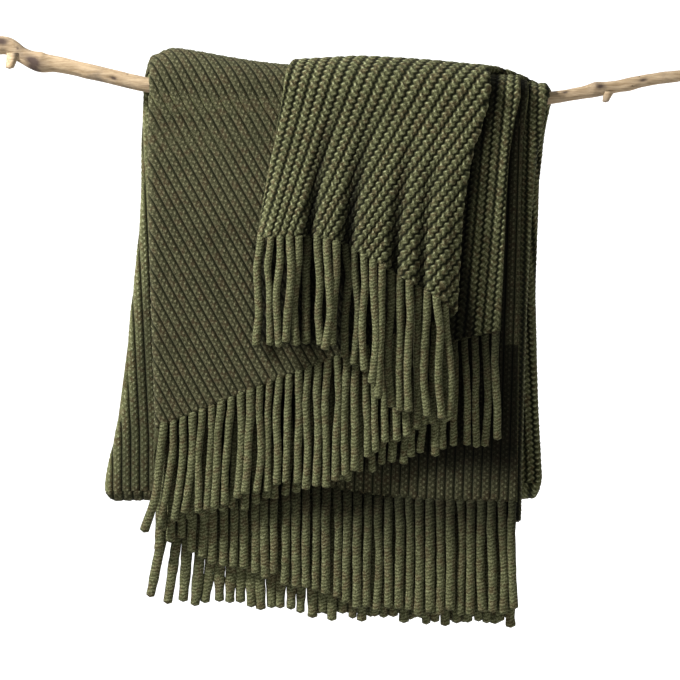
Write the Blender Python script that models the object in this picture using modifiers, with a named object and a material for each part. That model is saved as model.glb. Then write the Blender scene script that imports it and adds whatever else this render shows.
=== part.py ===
"""Knitted throw with fringed ends, folded in thirds, doubled and hung over a branch.

Sizes are in millimetres and are turned into metres when the points are set.
+X runs along the branch to the right, +Z is up, and the front faces -Y.
The origin is the centre of the branch's sawn left end.

The sheet is one strip that is folded twice. Across its width it is folded in
thirds like a Z (third 1 outermost at the front, third 3 innermost). Along its
length it is doubled: the outer half and the inner half meet in a fold that
hangs behind the branch, and both fringed ends hang in front.
"""

import math

import bmesh
import bpy
from mathutils import Vector

MM = 0.001

# Sheet
SHEET_THICKNESS = 3.0
RIB_RISE = 0.75
SEAT_GAP = 0.3

# Distance between neighbouring layers, at the branch, low in front, low behind
PITCH_TOP = 5.0
PITCH_FRONT = 8.2
PITCH_BACK = 5.6
PITCH_GROWTH_DEPTH = 150.0
INNER_HALF_SPREAD = 12.0

# Ribs on each third, and plain columns where a third is covered
RIBS_THIRD_1 = 24
RIBS_THIRD_2 = 16
RIBS_THIRD_3 = 5
PLAIN_THIRD_2 = 4
PLAIN_THIRD_3 = 5
TURN_STEPS = 4

# Rows along the length
OUTER_FRONT_ROWS = (0.0, 0.1, 0.26, 0.5, 0.75)
INNER_FRONT_ROWS = (0.0, 0.3, 0.7)
BACK_ROWS = (0.14, 0.5)
ARC_STEPS = 4
BOTTOM_STEPS = 4

# Share of the way over the branch after which the sheet's sides swing to the back leg's
TURN_START = 0.42

# Fringe
STRAND_WIDTH = 6.8
STRAND_DEPTH = 5.2
STRAND_STATIONS = (0.22, 0.6, 1.0)
BACKING_HEIGHT = 4.5
BACKING_DEPTH = 4.4
BACKING_GAP = 1.0

# Branch: centre line and radius
BRANCH_SIDES = 10
BRANCH_LINE = (
    # x, z, radius
    (0.0, 0.0, 8.5),
    (20.0, -2.0, 8.6),
    (34.0, -11.0, 7.7),
    (52.0, -19.0, 9.2),
    (67.0, -20.0, 8.0),
    (92.0, -25.0, 7.5),
    (122.0, -32.0, 7.2),
    (162.0, -41.5, 7.2),
    (212.0, -46.5, 7.0),
    (312.0, -52.0, 7.0),
    (412.0, -55.0, 6.8),
    (512.0, -55.0, 6.5),
    (562.0, -53.5, 6.3),
    (592.0, -49.0, 6.0),
    (610.0, -45.5, 6.9),
    (632.0, -42.0, 6.0),
    (662.0, -36.0, 6.0),
    (692.0, -32.0, 5.8),
    (704.0, -30.0, 5.8),
)
BRANCH_TWIGS = (
    # x, way down and forward, length, end size
    (27.0, 0.3, 15.0, 0.55),
    (621.0, 0.3, 12.0, 0.3),
)

# Side edges of the folded sheet, seen from the front, by height
FRONT_EDGES = {
    "selvage_1": ((-21.0, 309.0), (-196.0, 270.0)),
    "outer_fold_12": ((-28.0, 502.0), (-120.0, 492.0), (-268.0, 467.0)),
    "outer_fold_23": ((-34.0, 164.0), (-66.0, 162.0), (-156.0, 162.0),
                      (-256.0, 165.0), (-384.0, 169.0)),
    "outer_selvage_3": ((-40.0, 533.0), (-56.0, 530.5), (-81.0, 525.0), (-106.0, 521.0),
                        (-156.0, 517.0), (-206.0, 515.0), (-286.0, 511.0)),
    "inner_selvage_3": ((-46.0, 540.0), (-81.0, 536.0), (-106.0, 533.0), (-206.0, 531.0),
                        (-456.0, 528.0)),
    "inner_fold_23": ((-42.0, 166.0), (-156.0, 166.0), (-356.0, 168.0), (-431.0, 165.0)),
    "inner_fold_12": ((-46.0, 561.0), (-81.0, 553.5), (-106.0, 549.0), (-156.0, 543.5),
                      (-260.0, 537.5), (-477.0, 531.0)),
    "inner_selvage_1": ((-46.0, 330.0), (-477.0, 320.0)),
}
BACK_EDGES = {
    "left_fold": ((-51.0, 155.0), (-88.0, 153.0), (-149.0, 152.5), (-210.0, 148.0),
                  (-277.0, 141.0), (-346.0, 135.0), (-400.0, 124.0), (-433.0, 117.0),
                  (-448.0, 116.5), (-456.0, 125.0)),
    "right_fold": ((-46.0, 565.0), (-56.0, 563.0), (-81.0, 558.0), (-106.0, 554.5),
                   (-156.0, 550.5), (-256.0, 548.0), (-356.0, 550.0), (-420.0, 553.0),
                   (-439.0, 553.0), (-447.0, 546.0)),
    "selvage_1": ((-46.0, 318.0), (-456.0, 300.0)),
    "selvage_3": ((-46.0, 534.0), (-256.0, 532.0), (-456.0, 522.0)),
}

# Height of the crest of thirds 1 and 2 of the outer half above the branch's axis
CREST_THIRD_1 = ((309.0, 34.0), (342.0, 37.0), (372.0, 39.5), (412.0, 38.5),
                 (452.0, 36.0), (482.0, 33.0), (500.0, 31.6))
CREST_THIRD_2 = ((164.0, 28.0), (171.0, 31.5), (178.0, 36.0), (187.0, 38.8), (212.0, 37.0),
                 (242.0, 33.5), (272.0, 30.5),
                 (302.0, 29.0), (342.0, 29.0), (372.0, 29.5), (412.0, 29.5), (452.0, 28.8),
                 (482.0, 27.5), (502.0, 26.4), (560.0, 25.0))

# Heights of the fringed ends
HEMS = {
    "outer_1": ((270.0, -196.0), (312.0, -194.0), (357.0, -202.0), (384.0, -218.0),
                (412.0, -234.0), (442.0, -251.0), (467.0, -268.0)),
    "outer_2": ((169.0, -384.0), (322.0, -323.0), (467.0, -271.0)),
    "outer_3": ((169.0, -386.0), (322.0, -336.0), (467.0, -297.0), (512.0, -287.0)),
    "inner_3": ((165.0, -412.0), (176.0, -398.0), (200.0, -399.0), (240.0, -412.0),
                (312.0, -436.0), (412.0, -453.0), (527.0, -457.0)),
    "inner_2": ((165.0, -426.0), (200.0, -445.0), (312.0, -456.0), (412.0, -468.0),
                (530.0, -477.0)),
    "inner_1": ((320.0, -462.0), (412.0, -470.0), (530.0, -478.0)),
}

# Height of the centre of the fold that hangs behind
BACK_FOLD = ((117.0, -448.0), (553.0, -439.0))

# Ruffles of the outer third: place, half width and depth of each deep valley
RUFFLE_SWELL = 8.5
RUFFLE_VALLEYS = (
    # share of width, half width, depth
    (0.26, 0.045, 8.0),
    (0.46, 0.050, 8.5),
    (0.70, 0.040, 7.0),
    (0.84, 0.035, 5.0),
)

# Fringe rows: hem, strands, margins at both ends, heights of the strand ends
FRINGE_ROWS = {
    "fringe_flap": ("outer_1", 21, 0.012, 0.975,
                    ((262.0, -300.0), (322.0, -304.0), (350.0, -306.0), (372.0, -326.0),
                     (400.0, -358.0), (422.0, -368.0), (449.0, -371.0), (470.0, -378.0))),
    "fringe_panel": ("outer_2", 30, 0.015, 0.992,
                     ((156.0, -483.0), (169.0, -486.0), (192.0, -475.0), (226.0, -466.0),
                      (267.0, -450.0), (300.0, -441.0), (342.0, -444.0), (357.0, -432.0),
                      (404.0, -397.0), (467.0, -376.0))),
    "fringe_strip": ("outer_3", 33, 0.008, 0.988,
                     ((169.0, -490.0), (322.0, -445.0), (467.0, -402.0), (512.0, -399.0))),
    "fringe_inner_outer": ("inner_3", 35, 0.008, 0.988,
                           ((169.0, -511.0), (193.0, -496.0), (219.0, -514.0),
                            (253.0, -521.0), (282.0, -531.0), (323.0, -547.0),
                            (373.0, -562.0), (459.0, -567.0), (527.0, -566.0))),
    "fringe_inner_middle": ("inner_2", 34, 0.012, 0.976,
                            ((159.0, -552.0), (190.0, -556.0), (266.0, -561.0),
                             (312.0, -569.0), (405.0, -575.0), (478.0, -578.0),
                             (535.0, -583.0))),
    "fringe_inner_back": ("inner_1", 19, 0.035, 0.960,
                          ((320.0, -566.0), (412.0, -572.0), (530.0, -577.0))),
}

# The six layers from the branch outwards, by half and third
LAYERS = {
    "inner_1": (0, 1, "inner_selvage_1", "inner_fold_12"),
    "inner_2": (1, 2, "inner_fold_12", "inner_fold_23"),
    "inner_3": (2, 3, "inner_fold_23", "inner_selvage_3"),
    "outer_3": (3, 3, "outer_fold_23", "outer_selvage_3"),
    "outer_2": (4, 2, "outer_fold_12", "outer_fold_23"),
    "outer_1": (5, 1, "selvage_1", "outer_fold_12"),
}
BACK_SIDES = {1: ("selvage_1", "right_fold"), 2: ("right_fold", "left_fold"),
              3: ("left_fold", "selvage_3")}
FOLD_OUTLINE = SHEET_THICKNESS / 2

# Colours as linear values
YARN_COLOUR = (0.066, 0.078, 0.029, 1.0)
FRINGE_COLOUR = (0.072, 0.084, 0.032, 1.0)
WOOD_COLOUR = (0.50, 0.34, 0.20, 1.0)


def mix(a, b, share):
    """Blend from a to b."""
    return a + (b - a) * share


def ease(share):
    """Smooth step from 0 to 1."""
    share = min(max(share, 0.0), 1.0)
    return share * share * (3.0 - 2.0 * share)


def slope(table, i, column):
    """Slope of a table at one of its rows, from the rows beside it."""
    low = table[max(i - 1, 0)]
    high = table[min(i + 1, len(table) - 1)]
    return (high[column] - low[column]) / (high[0] - low[0])


def read(table, place, column=1):
    """Smooth value of a table at a place; its ends are held beyond the table."""
    if table[0][0] > table[-1][0]:
        table = table[::-1]
    if place <= table[0][0]:
        return table[0][column]
    if place >= table[-1][0]:
        return table[-1][column]
    i = max(k for k in range(len(table) - 1) if table[k][0] <= place)
    span = table[i + 1][0] - table[i][0]
    t = (place - table[i][0]) / span
    start = table[i][column]
    end = table[i + 1][column]
    rise_a = slope(table, i, column) * span
    rise_b = slope(table, i + 1, column) * span
    return ((2 * t ** 3 - 3 * t ** 2 + 1) * start + (t ** 3 - 2 * t ** 2 + t) * rise_a
            + (3 * t ** 2 - 2 * t ** 3) * end + (t ** 3 - t ** 2) * rise_b)


def wobble(index, salt):
    """Repeatable uneven value between -1 and 1."""
    value = math.sin(index * 12.9898 + salt * 78.233) * 43758.5453
    return 2.0 * (value - math.floor(value)) - 1.0


def pitch_at(z, low_pitch):
    """Distance between layers at a height."""
    return mix(PITCH_TOP, low_pitch, ease((-50.0 - z) / PITCH_GROWTH_DEPTH))


def front_y(level, z):
    """Front leg of a layer."""
    return -(INNER_HALF_SPREAD + level * pitch_at(z, PITCH_FRONT))


def back_y(level, z):
    """Back leg of a layer."""
    return INNER_HALF_SPREAD + level * pitch_at(z, PITCH_BACK)


def crest(level, third, x):
    """Height of a layer's crest above the branch's axis."""
    seat = read(BRANCH_LINE, x, 2) + SEAT_GAP + SHEET_THICKNESS / 2
    if third == 1 and level == 5:
        return read(CREST_THIRD_1, x)
    return mix(seat, read(CREST_THIRD_2, x), level / 4.0)


def edge_inset(name, level, pitch):
    """How far a layer's end stays inside the outline where it turns into a fold."""
    return 0.0 if "selvage" in name else pitch / 2 + FOLD_OUTLINE


def front_sides(layer, z):
    """Start and end of a layer on the front leg, in the order of the sheet's width."""
    ends = []
    for name in LAYERS[layer][2:]:
        outline = read(FRONT_EDGES[name], z)
        inset = edge_inset(name, LAYERS[layer][0], pitch_at(z, PITCH_FRONT))
        ends.append(outline + (inset if "fold_23" in name else -inset))
    return ends


def back_sides(third, z):
    """Start and end of a third on the back leg."""
    ends = []
    for name in BACK_SIDES[third]:
        outline = read(BACK_EDGES[name], z)
        inset = edge_inset(name, 0, pitch_at(z, PITCH_BACK))
        ends.append(outline + (inset if name == "left_fold" else -inset))
    return ends


def ruffle(layer, share, rise):
    """Outward swell of a front hem; rise is 0 at the hem and 1 at the branch."""
    fade = (1.0 - rise) ** 1.4
    if layer == "outer_1":
        swell = RUFFLE_SWELL
        for place, half_width, depth in RUFFLE_VALLEYS:
            swell -= depth * math.exp(-((share - place) / half_width) ** 2)
        return fade * max(swell, 0.0) * ease(min(share, 1.0 - share) / 0.06)
    return 0.0


def front_point(layer, share, rise):
    """Point on a front leg; rise is 0 at the hem and 1 beside the branch."""
    level = LAYERS[layer][0]
    z = -200.0
    for _ in range(6):
        start, end = front_sides(layer, z)
        x = mix(start, end, share)
        z = mix(read(HEMS[layer], x), read(BRANCH_LINE, x), rise)
    return Vector((x, front_y(level, z) - ruffle(layer, share, rise), z))


def arc_point(layer, share, angle):
    """Point on the arc over the branch; angle is 0 in front and pi behind."""
    level, third = LAYERS[layer][:2]
    start, end = front_sides(layer, -50.0)
    back_start, back_end = back_sides(third, -50.0)
    turned = ease((angle / math.pi - TURN_START) / (1.0 - TURN_START))
    x = mix(mix(start, end, share), mix(back_start, back_end, share), turned)
    axis = read(BRANCH_LINE, x)
    y = mix(front_y(level, axis), back_y(level, axis), (1.0 - math.cos(angle)) / 2)
    return Vector((x, y, axis + crest(level, third, x) * math.sin(angle)))


def back_point(third, level, share, fall):
    """Point on a back leg; fall is 0 beside the branch and 1 at the fold's centre."""
    z = -200.0
    for _ in range(6):
        start, end = back_sides(third, z)
        x = mix(start, end, share)
        z = mix(read(BRANCH_LINE, x), read(BACK_FOLD, x), fall)
    return Vector((x, back_y(level, z), z))


def bottom_point(third, share, angle):
    """Point in the fold that hangs behind; angle is 0 at the outer half."""
    offset = 3.5 - third
    centre = -440.0
    for _ in range(6):
        rounding = 0.9 * pitch_at(centre, PITCH_BACK) * math.sin(angle)
        start, end = back_sides(third, centre - rounding)
        x = mix(start, end, share)
        centre = read(BACK_FOLD, x)
    z = centre - offset * pitch_at(centre, PITCH_BACK) * math.sin(angle)
    y = back_y(2.5 + offset * math.cos(angle), centre)
    return Vector((x, y, z))


def sheet_rows():
    """The stations along the sheet, from the outer hem to the inner hem."""
    rows = [("outer", "front", rise) for rise in OUTER_FRONT_ROWS]
    rows += [("outer", "arc", math.pi * k / ARC_STEPS) for k in range(ARC_STEPS + 1)]
    rows += [("outer", "back", fall) for fall in BACK_ROWS]
    rows += [("outer", "bottom", math.pi * k / BOTTOM_STEPS) for k in range(BOTTOM_STEPS + 1)]
    rows += [("inner", "back", fall) for fall in BACK_ROWS[::-1]]
    rows += [("inner", "arc", math.pi * (1 - k / ARC_STEPS)) for k in range(ARC_STEPS + 1)]
    rows += [("inner", "front", rise) for rise in INNER_FRONT_ROWS[::-1]]
    return rows


def third_columns(third, fine, plain, plain_first):
    """Columns of one third: its share of width and the side that the rib takes."""
    columns = []
    fine_steps = 2 * fine
    plain_share = (0.52 if third == 2 else 0.84) if plain else 0.0
    for k in range(plain if plain_first else 0):
        columns.append((third, plain_share * k / plain, 0))
    first = plain_share if plain_first else 0.0
    for k in range(fine_steps + 1):
        side = 0 if k in (0, fine_steps) else (1 if k % 2 else -1)
        columns.append((third, mix(first, 1.0, k / fine_steps), side))
    return columns


def sheet_columns():
    """The stations across the sheet, with the turns between its thirds."""
    columns = third_columns(1, RIBS_THIRD_1, 0, True)
    columns += [("turn_12", k / TURN_STEPS, 0) for k in range(1, TURN_STEPS)]
    columns += third_columns(2, RIBS_THIRD_2, PLAIN_THIRD_2, True)
    columns += [("turn_23", k / TURN_STEPS, 0) for k in range(1, TURN_STEPS)]
    columns += third_columns(3, RIBS_THIRD_3, PLAIN_THIRD_3, True)
    return columns


def layer_point(row, third, share):
    """Point of the sheet's middle surface at a row, on one of its thirds."""
    half, part, place = row
    layer = half + "_" + str(third)
    if part == "front":
        return front_point(layer, share, place)
    if part == "arc":
        return arc_point(layer, share, place)
    if part == "back":
        return back_point(third, LAYERS[layer][0], share, place)
    return bottom_point(third, share, place)


def turn_point(row, name, share):
    """Point in the turn between two thirds, a half circle seen along the fold."""
    first = int(name[-2])
    start = layer_point(row, first, 1.0)
    end = layer_point(row, first + 1, 0.0)
    angle = math.pi * share
    reach = min((start - end).length / 2, PITCH_FRONT / 2)
    side = 1.0 if name == "turn_12" else -1.0
    point = (start + end) / 2 + (start - end) / 2 * math.cos(angle)
    return point + Vector((side * reach * math.sin(angle), 0.0, 0.0))


def rib_offset(row, side):
    """Push of a rib's crest or groove, across the layer."""
    half, part, place = row
    if half == "inner" and part != "front":
        return Vector((0.0, 0.0, 0.0))
    height = RIB_RISE * side
    if part == "front":
        return Vector((0.0, -height, 0.0))
    if part == "back":
        return Vector((0.0, height, 0.0))
    if part == "arc":
        return Vector((0.0, -math.cos(place), math.sin(place))) * height
    return Vector((0.0, math.cos(place), -math.sin(place))) * height


def new_object(name, mesh, collection, material):
    """Link a finished mesh as a named object."""
    obj = bpy.data.objects.new(name, mesh)
    collection.objects.link(obj)
    mesh.materials.append(material)
    return obj


def yarn_material(name, colour, roughness):
    """Plain surface colour of a piece."""
    material = bpy.data.materials.new(name)
    material.use_nodes = True
    shader = material.node_tree.nodes["Principled BSDF"]
    shader.inputs["Base Color"].default_value = colour
    shader.inputs["Roughness"].default_value = roughness
    shader.inputs["Metallic"].default_value = 0.0
    material.diffuse_color = colour
    return material


def build_sheet(collection, material):
    """The folded sheet: a regular grid laid on the folds, then given its thickness."""
    rows = sheet_rows()
    columns = sheet_columns()
    bm = bmesh.new()
    bmesh.ops.create_grid(bm, x_segments=len(columns) - 1, y_segments=len(rows) - 1, size=1.0)
    verts = sorted(bm.verts, key=lambda v: (round(v.co.y, 5), round(v.co.x, 5)))
    spare = []
    for r, row in enumerate(rows):
        for c, (third, share, side) in enumerate(columns):
            vert = verts[r * len(columns) + c]
            if isinstance(third, str):
                point = turn_point(row, third, share)
            else:
                point = layer_point(row, third, share) + rib_offset(row, side)
                hidden = row[0] == "inner" and (third == 1 or row[1] != "front")
                if hidden and side == 1:
                    spare.append(vert)
            vert.co = point * MM
    spare_set = set(spare)
    loose = [e for e in bm.edges if e.verts[0] in spare_set and e.verts[1] in spare_set]
    bmesh.ops.dissolve_edges(bm, edges=loose, use_verts=True)
    bmesh.ops.recalc_face_normals(bm, faces=bm.faces[:])
    mesh = bpy.data.meshes.new("throw_cloth")
    bm.to_mesh(mesh)
    bm.free()
    obj = new_object("throw_cloth", mesh, collection, material)
    thick = obj.modifiers.new("thickness", "SOLIDIFY")
    thick.thickness = SHEET_THICKNESS * MM
    thick.offset = 0.0
    thick.use_even_offset = True
    thick.use_rim = True
    return obj


def hem_point(hem, share):
    """Point on a hem, on the straight run between the sheet's own columns."""
    third = LAYERS[hem][1]
    shares = [column[1] for column in sheet_columns() if column[0] == third]
    i = max(k for k in range(len(shares) - 1) if shares[k] <= share)
    part = (share - shares[i]) / (shares[i + 1] - shares[i])
    return front_point(hem, shares[i], 0.0).lerp(front_point(hem, shares[i + 1], 0.0), part)


def strand_point(name, hem, share, index, fall, end_table):
    """Centre of a strand at a share of its fall."""
    root = hem_point(hem, share)
    root.z -= BACKING_GAP + BACKING_HEIGHT
    salt = len(name) + LAYERS[hem][0] * 3
    tip = read(end_table, root.x) + 3.0 * wobble(index, salt)
    sway = 0.6 * wobble(index, salt + 1) * fall
    bend = 0.3 * wobble(index, salt + 2) * math.sin(math.pi * fall)
    lean = -2.5 * fall * (1.0 - 0.4 * share) if hem == "outer_1" else 0.0
    x = root.x + sway + bend + lean
    y = root.y + 0.5 * wobble(index, salt + 3) * fall
    return Vector((x, y, mix(root.z, tip, fall)))


def corner_signs(face):
    """Which corner of a strand each corner of its root face becomes, as signs along x and y."""
    by_x = sorted(face.verts, key=lambda v: v.co.x)
    signs = {}
    for side, pair in ((-1, by_x[:2]), (1, by_x[2:])):
        front, back = sorted(pair, key=lambda v: v.co.y)
        signs[front] = (side, -1)
        signs[back] = (side, 1)
    return [signs[v] for v in face.verts]


def build_fringe(name, collection, material):
    """One row of strands fused into a narrow backing just below its hem."""
    hem, count, first, last, end_table = FRINGE_ROWS[name]
    cells = 2 * count - 1
    bm = bmesh.new()
    bmesh.ops.create_grid(bm, x_segments=cells, y_segments=1, size=1.0)
    verts = sorted(bm.verts, key=lambda v: (round(v.co.y, 5), round(v.co.x, 5)))
    span = abs(front_point(hem, last, 0.0).x - front_point(hem, first, 0.0).x)
    half_strand = STRAND_WIDTH / 2 / span
    centres = [mix(first + half_strand, last - half_strand, k / (count - 1)) for k in range(count)]
    shares = [c + sign * half_strand * (last - first) for c in centres for sign in (-1, 1)]
    for k, share in enumerate(shares):
        for r, drop in enumerate((BACKING_HEIGHT, 0.0)):
            point = hem_point(hem, share)
            point.z -= BACKING_GAP + drop
            point.y += BACKING_DEPTH / 2
            verts[r * len(shares) + k].co = point * MM
    faces = bm.faces[:]
    grown = bmesh.ops.extrude_face_region(bm, geom=faces)["geom"]
    moved = [g for g in grown if isinstance(g, bmesh.types.BMVert)]
    bmesh.ops.translate(bm, verts=moved, vec=(0.0, -BACKING_DEPTH * MM, 0.0))
    bmesh.ops.recalc_face_normals(bm, faces=bm.faces[:])
    bm.normal_update()
    under = [f for f in bm.faces if f.normal.z < -0.4 and abs(f.normal.y) < 0.5]
    under.sort(key=lambda f: f.calc_center_median().x)
    if centres[0] > centres[-1] or front_point(hem, first, 0.0).x > front_point(hem, last, 0.0).x:
        centres = centres[::-1]
    for k, face in enumerate(under[::2]):
        signs = corner_signs(face)
        for station in STRAND_STATIONS:
            made = bmesh.ops.extrude_discrete_faces(bm, faces=[face])
            face = made["faces"][0]
            centre = strand_point(name, hem, centres[k], k, station, end_table)
            narrow = 0.86 if station == 1.0 else 1.0
            for v, (sx, sy) in zip(face.verts, signs):
                corner = (sx * narrow * STRAND_WIDTH / 2, sy * narrow * STRAND_DEPTH / 2, 0.0)
                v.co = (centre + Vector(corner)) * MM
    bmesh.ops.recalc_face_normals(bm, faces=bm.faces[:])
    mesh = bpy.data.meshes.new(name)
    bm.to_mesh(mesh)
    bm.free()
    return new_object(name, mesh, collection, material)


def branch_stations():
    """Centres, radii and slopes of the branch's rings."""
    places = sorted({row[0] for row in BRANCH_LINE} | {187.0, 262.0, 362.0, 462.0, 537.0})
    rings = []
    for x in places:
        ahead = read(BRANCH_LINE, x + 2.0) - read(BRANCH_LINE, x - 2.0)
        tilt = 0.0 if x in (places[0], places[-1]) else math.atan2(ahead, 4.0)
        rings.append((x, read(BRANCH_LINE, x), read(BRANCH_LINE, x, 2), tilt))
    return rings


def ring_corner(ring, side):
    """Corner of a ring of the branch; a corner lies on top of the branch."""
    x, z, radius, tilt = ring
    angle = 2.0 * math.pi * side / BRANCH_SIDES
    up = radius * math.cos(angle)
    return Vector((x - up * math.sin(tilt), radius * math.sin(angle), z + up * math.cos(tilt))) * MM


def build_branch(collection, material):
    """The branch: rings drawn out along its centre line, with two short twig stubs."""
    rings = branch_stations()
    bm = bmesh.new()
    made = bmesh.ops.create_circle(bm, cap_ends=True, segments=BRANCH_SIDES, radius=1.0)
    loop = sorted(made["verts"], key=lambda v: math.atan2(v.co.x, v.co.y) % (2 * math.pi))
    for side, vert in enumerate(loop):
        vert.co = ring_corner(rings[0], side)
    cap = bm.faces[:][0]
    for ring in rings[1:]:
        before = [v.co.copy() for v in cap.verts]
        order = [min(range(BRANCH_SIDES), key=lambda s: (loop[s].co - co).length) for co in before]
        cap = bmesh.ops.extrude_discrete_faces(bm, faces=[cap])["faces"][0]
        loop = [None] * BRANCH_SIDES
        for vert, side in zip(cap.verts, order):
            vert.co = ring_corner(ring, side)
            loop[side] = vert
    bottom = bmesh.ops.holes_fill(bm, edges=[e for e in bm.edges if e.is_boundary], sides=0)
    bmesh.ops.recalc_face_normals(bm, faces=bm.faces[:])
    for x, forward, length, end_size in BRANCH_TWIGS:
        radius = read(BRANCH_LINE, x, 2)
        target = Vector((x, -forward * radius, read(BRANCH_LINE, x) - radius)) * MM
        face = min(bm.faces, key=lambda f: (f.calc_center_median() - target).length)
        normal = face.normal.copy()
        for share, size in ((0.4, 0.75), (1.0, end_size)):
            face = bmesh.ops.extrude_discrete_faces(bm, faces=[face])["faces"][0]
            step = length * (0.4 if share == 0.4 else 0.6) * MM
            centre = face.calc_center_median()
            for vert in face.verts:
                vert.co = centre + (vert.co - centre) * size + normal * step
    bmesh.ops.recalc_face_normals(bm, faces=bm.faces[:])
    mesh = bpy.data.meshes.new("branch")
    bm.to_mesh(mesh)
    bm.free()
    return new_object("branch", mesh, collection, material)


def clear_scene():
    """Remove what a new file holds."""
    for obj in list(bpy.data.objects):
        bpy.data.objects.remove(obj, do_unlink=True)


def main():
    """Build the throw, its fringe rows and the branch."""
    clear_scene()
    collection = bpy.data.collections.new("knit_throw_on_branch")
    bpy.context.scene.collection.children.link(collection)
    knit = yarn_material("knit_yarn", YARN_COLOUR, 0.95)
    fringe = yarn_material("fringe_yarn", FRINGE_COLOUR, 0.95)
    wood = yarn_material("branch_wood", WOOD_COLOUR, 0.75)
    build_sheet(collection, knit)
    for name in FRINGE_ROWS:
        build_fringe(name, collection, fringe)
    build_branch(collection, wood)


main()
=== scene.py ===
"""Looks of the chenille knit throw that hangs folded over a branch.

The sheet's folds repeat the named values of the part's source, with a finer
course of the flap's two sides: third 1 is the short flap in front, third 2 the
wide panel, third 3 the narrow strip beside the flap, each with an outer half and
an inner half. Lengths are in millimetres until a mesh is made. +X runs along the
branch, +Z is up and the front faces -Y.
"""

from __future__ import annotations

import logging
import math
from dataclasses import dataclass, field
from enum import Enum

import bmesh
import bpy
import numpy as np
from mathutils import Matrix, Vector

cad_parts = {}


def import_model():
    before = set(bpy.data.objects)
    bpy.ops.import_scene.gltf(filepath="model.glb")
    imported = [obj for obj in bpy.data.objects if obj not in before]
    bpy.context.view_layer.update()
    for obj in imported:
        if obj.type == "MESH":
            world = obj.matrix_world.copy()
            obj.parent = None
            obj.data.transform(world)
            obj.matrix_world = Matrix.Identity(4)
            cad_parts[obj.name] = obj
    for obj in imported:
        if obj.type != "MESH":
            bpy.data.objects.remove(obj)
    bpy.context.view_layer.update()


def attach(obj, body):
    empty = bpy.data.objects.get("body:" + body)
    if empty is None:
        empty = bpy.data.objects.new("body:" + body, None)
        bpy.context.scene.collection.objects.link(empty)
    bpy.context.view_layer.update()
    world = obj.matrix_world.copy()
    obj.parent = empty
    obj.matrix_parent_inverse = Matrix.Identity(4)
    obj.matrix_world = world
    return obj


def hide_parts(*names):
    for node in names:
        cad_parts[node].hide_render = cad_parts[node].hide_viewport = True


LOG = logging.getLogger("knit_throw")
MM = 0.001
BODY = "root"


class KnitFace(Enum):
    """The two faces of the knit: round ropes, or flat bands with fine grooves and dots."""

    ROPE = "rope"
    GROOVE = "groove"


class Part(Enum):
    """The four stretches of a layer along the sheet's length."""

    FRONT = "front"
    ARC = "arc"
    BACK = "back"
    BOTTOM = "bottom"


@dataclass(frozen=True)
class Curve:
    """Smooth curve through rows of numbers; beyond its ends it stays level."""

    rows: tuple[tuple[float, ...], ...]

    def at(self, place: np.ndarray | float, column: int = 1) -> np.ndarray:
        """Value of one column at each place.

        Args:
            place: Places along the first column.
            column: Column to read.

        Returns:
            The values, in the shape of place.
        """
        table = np.array(sorted(self.rows))
        xs, ys = table[:, 0], table[:, column]
        last = len(xs) - 1
        low = np.maximum(np.arange(last + 1) - 1, 0)
        high = np.minimum(np.arange(last + 1) + 1, last)
        slopes = (ys[high] - ys[low]) / (xs[high] - xs[low])
        place = np.clip(np.asarray(place, dtype=float), xs[0], xs[-1])
        i = np.clip(np.searchsorted(xs, place, side="right") - 1, 0, last - 1)
        span = xs[i + 1] - xs[i]
        t = (place - xs[i]) / span
        return ((2 * t**3 - 3 * t**2 + 1) * ys[i] + (t**3 - 2 * t**2 + t) * slopes[i] * span
                + (3 * t**2 - 2 * t**3) * ys[i + 1] + (t**3 - t**2) * slopes[i + 1] * span)


def mix(a: np.ndarray | float, b: np.ndarray | float, share: np.ndarray | float) -> np.ndarray:
    """Blend from a to b."""
    return a + (b - a) * share


def ease(share: np.ndarray | float) -> np.ndarray:
    """Smooth step from 0 to 1."""
    share = np.clip(share, 0.0, 1.0)
    return share * share * (3.0 - 2.0 * share)


def wobble(index: np.ndarray | float, salt: float) -> np.ndarray:
    """Repeatable uneven value between -1 and 1 for a number."""
    value = np.sin(np.asarray(index) * 12.9898 + salt * 78.233) * 43758.5453
    return 2.0 * (value - np.floor(value)) - 1.0


def drift(index: np.ndarray | float, salt: float) -> np.ndarray:
    """Repeatable value between about -1 and 1 that changes slowly with the index."""
    base = np.floor(index)
    part = ease(np.asarray(index) - base)
    return mix(wobble(base, salt), wobble(base + 1.0, salt), part)


BRANCH_LINE = Curve((
    # x, z, radius
    (0.0, 0.0, 8.5), (20.0, -2.0, 8.6), (34.0, -11.0, 7.7), (52.0, -19.0, 9.2),
    (67.0, -20.0, 8.0), (92.0, -25.0, 7.5), (122.0, -32.0, 7.2), (162.0, -41.5, 7.2),
    (212.0, -46.5, 7.0), (312.0, -52.0, 7.0), (412.0, -55.0, 6.8), (512.0, -55.0, 6.5),
    (562.0, -53.5, 6.3), (592.0, -49.0, 6.0), (610.0, -45.5, 6.9), (632.0, -42.0, 6.0),
    (662.0, -36.0, 6.0), (692.0, -32.0, 5.8), (704.0, -30.0, 5.8),
))

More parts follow.
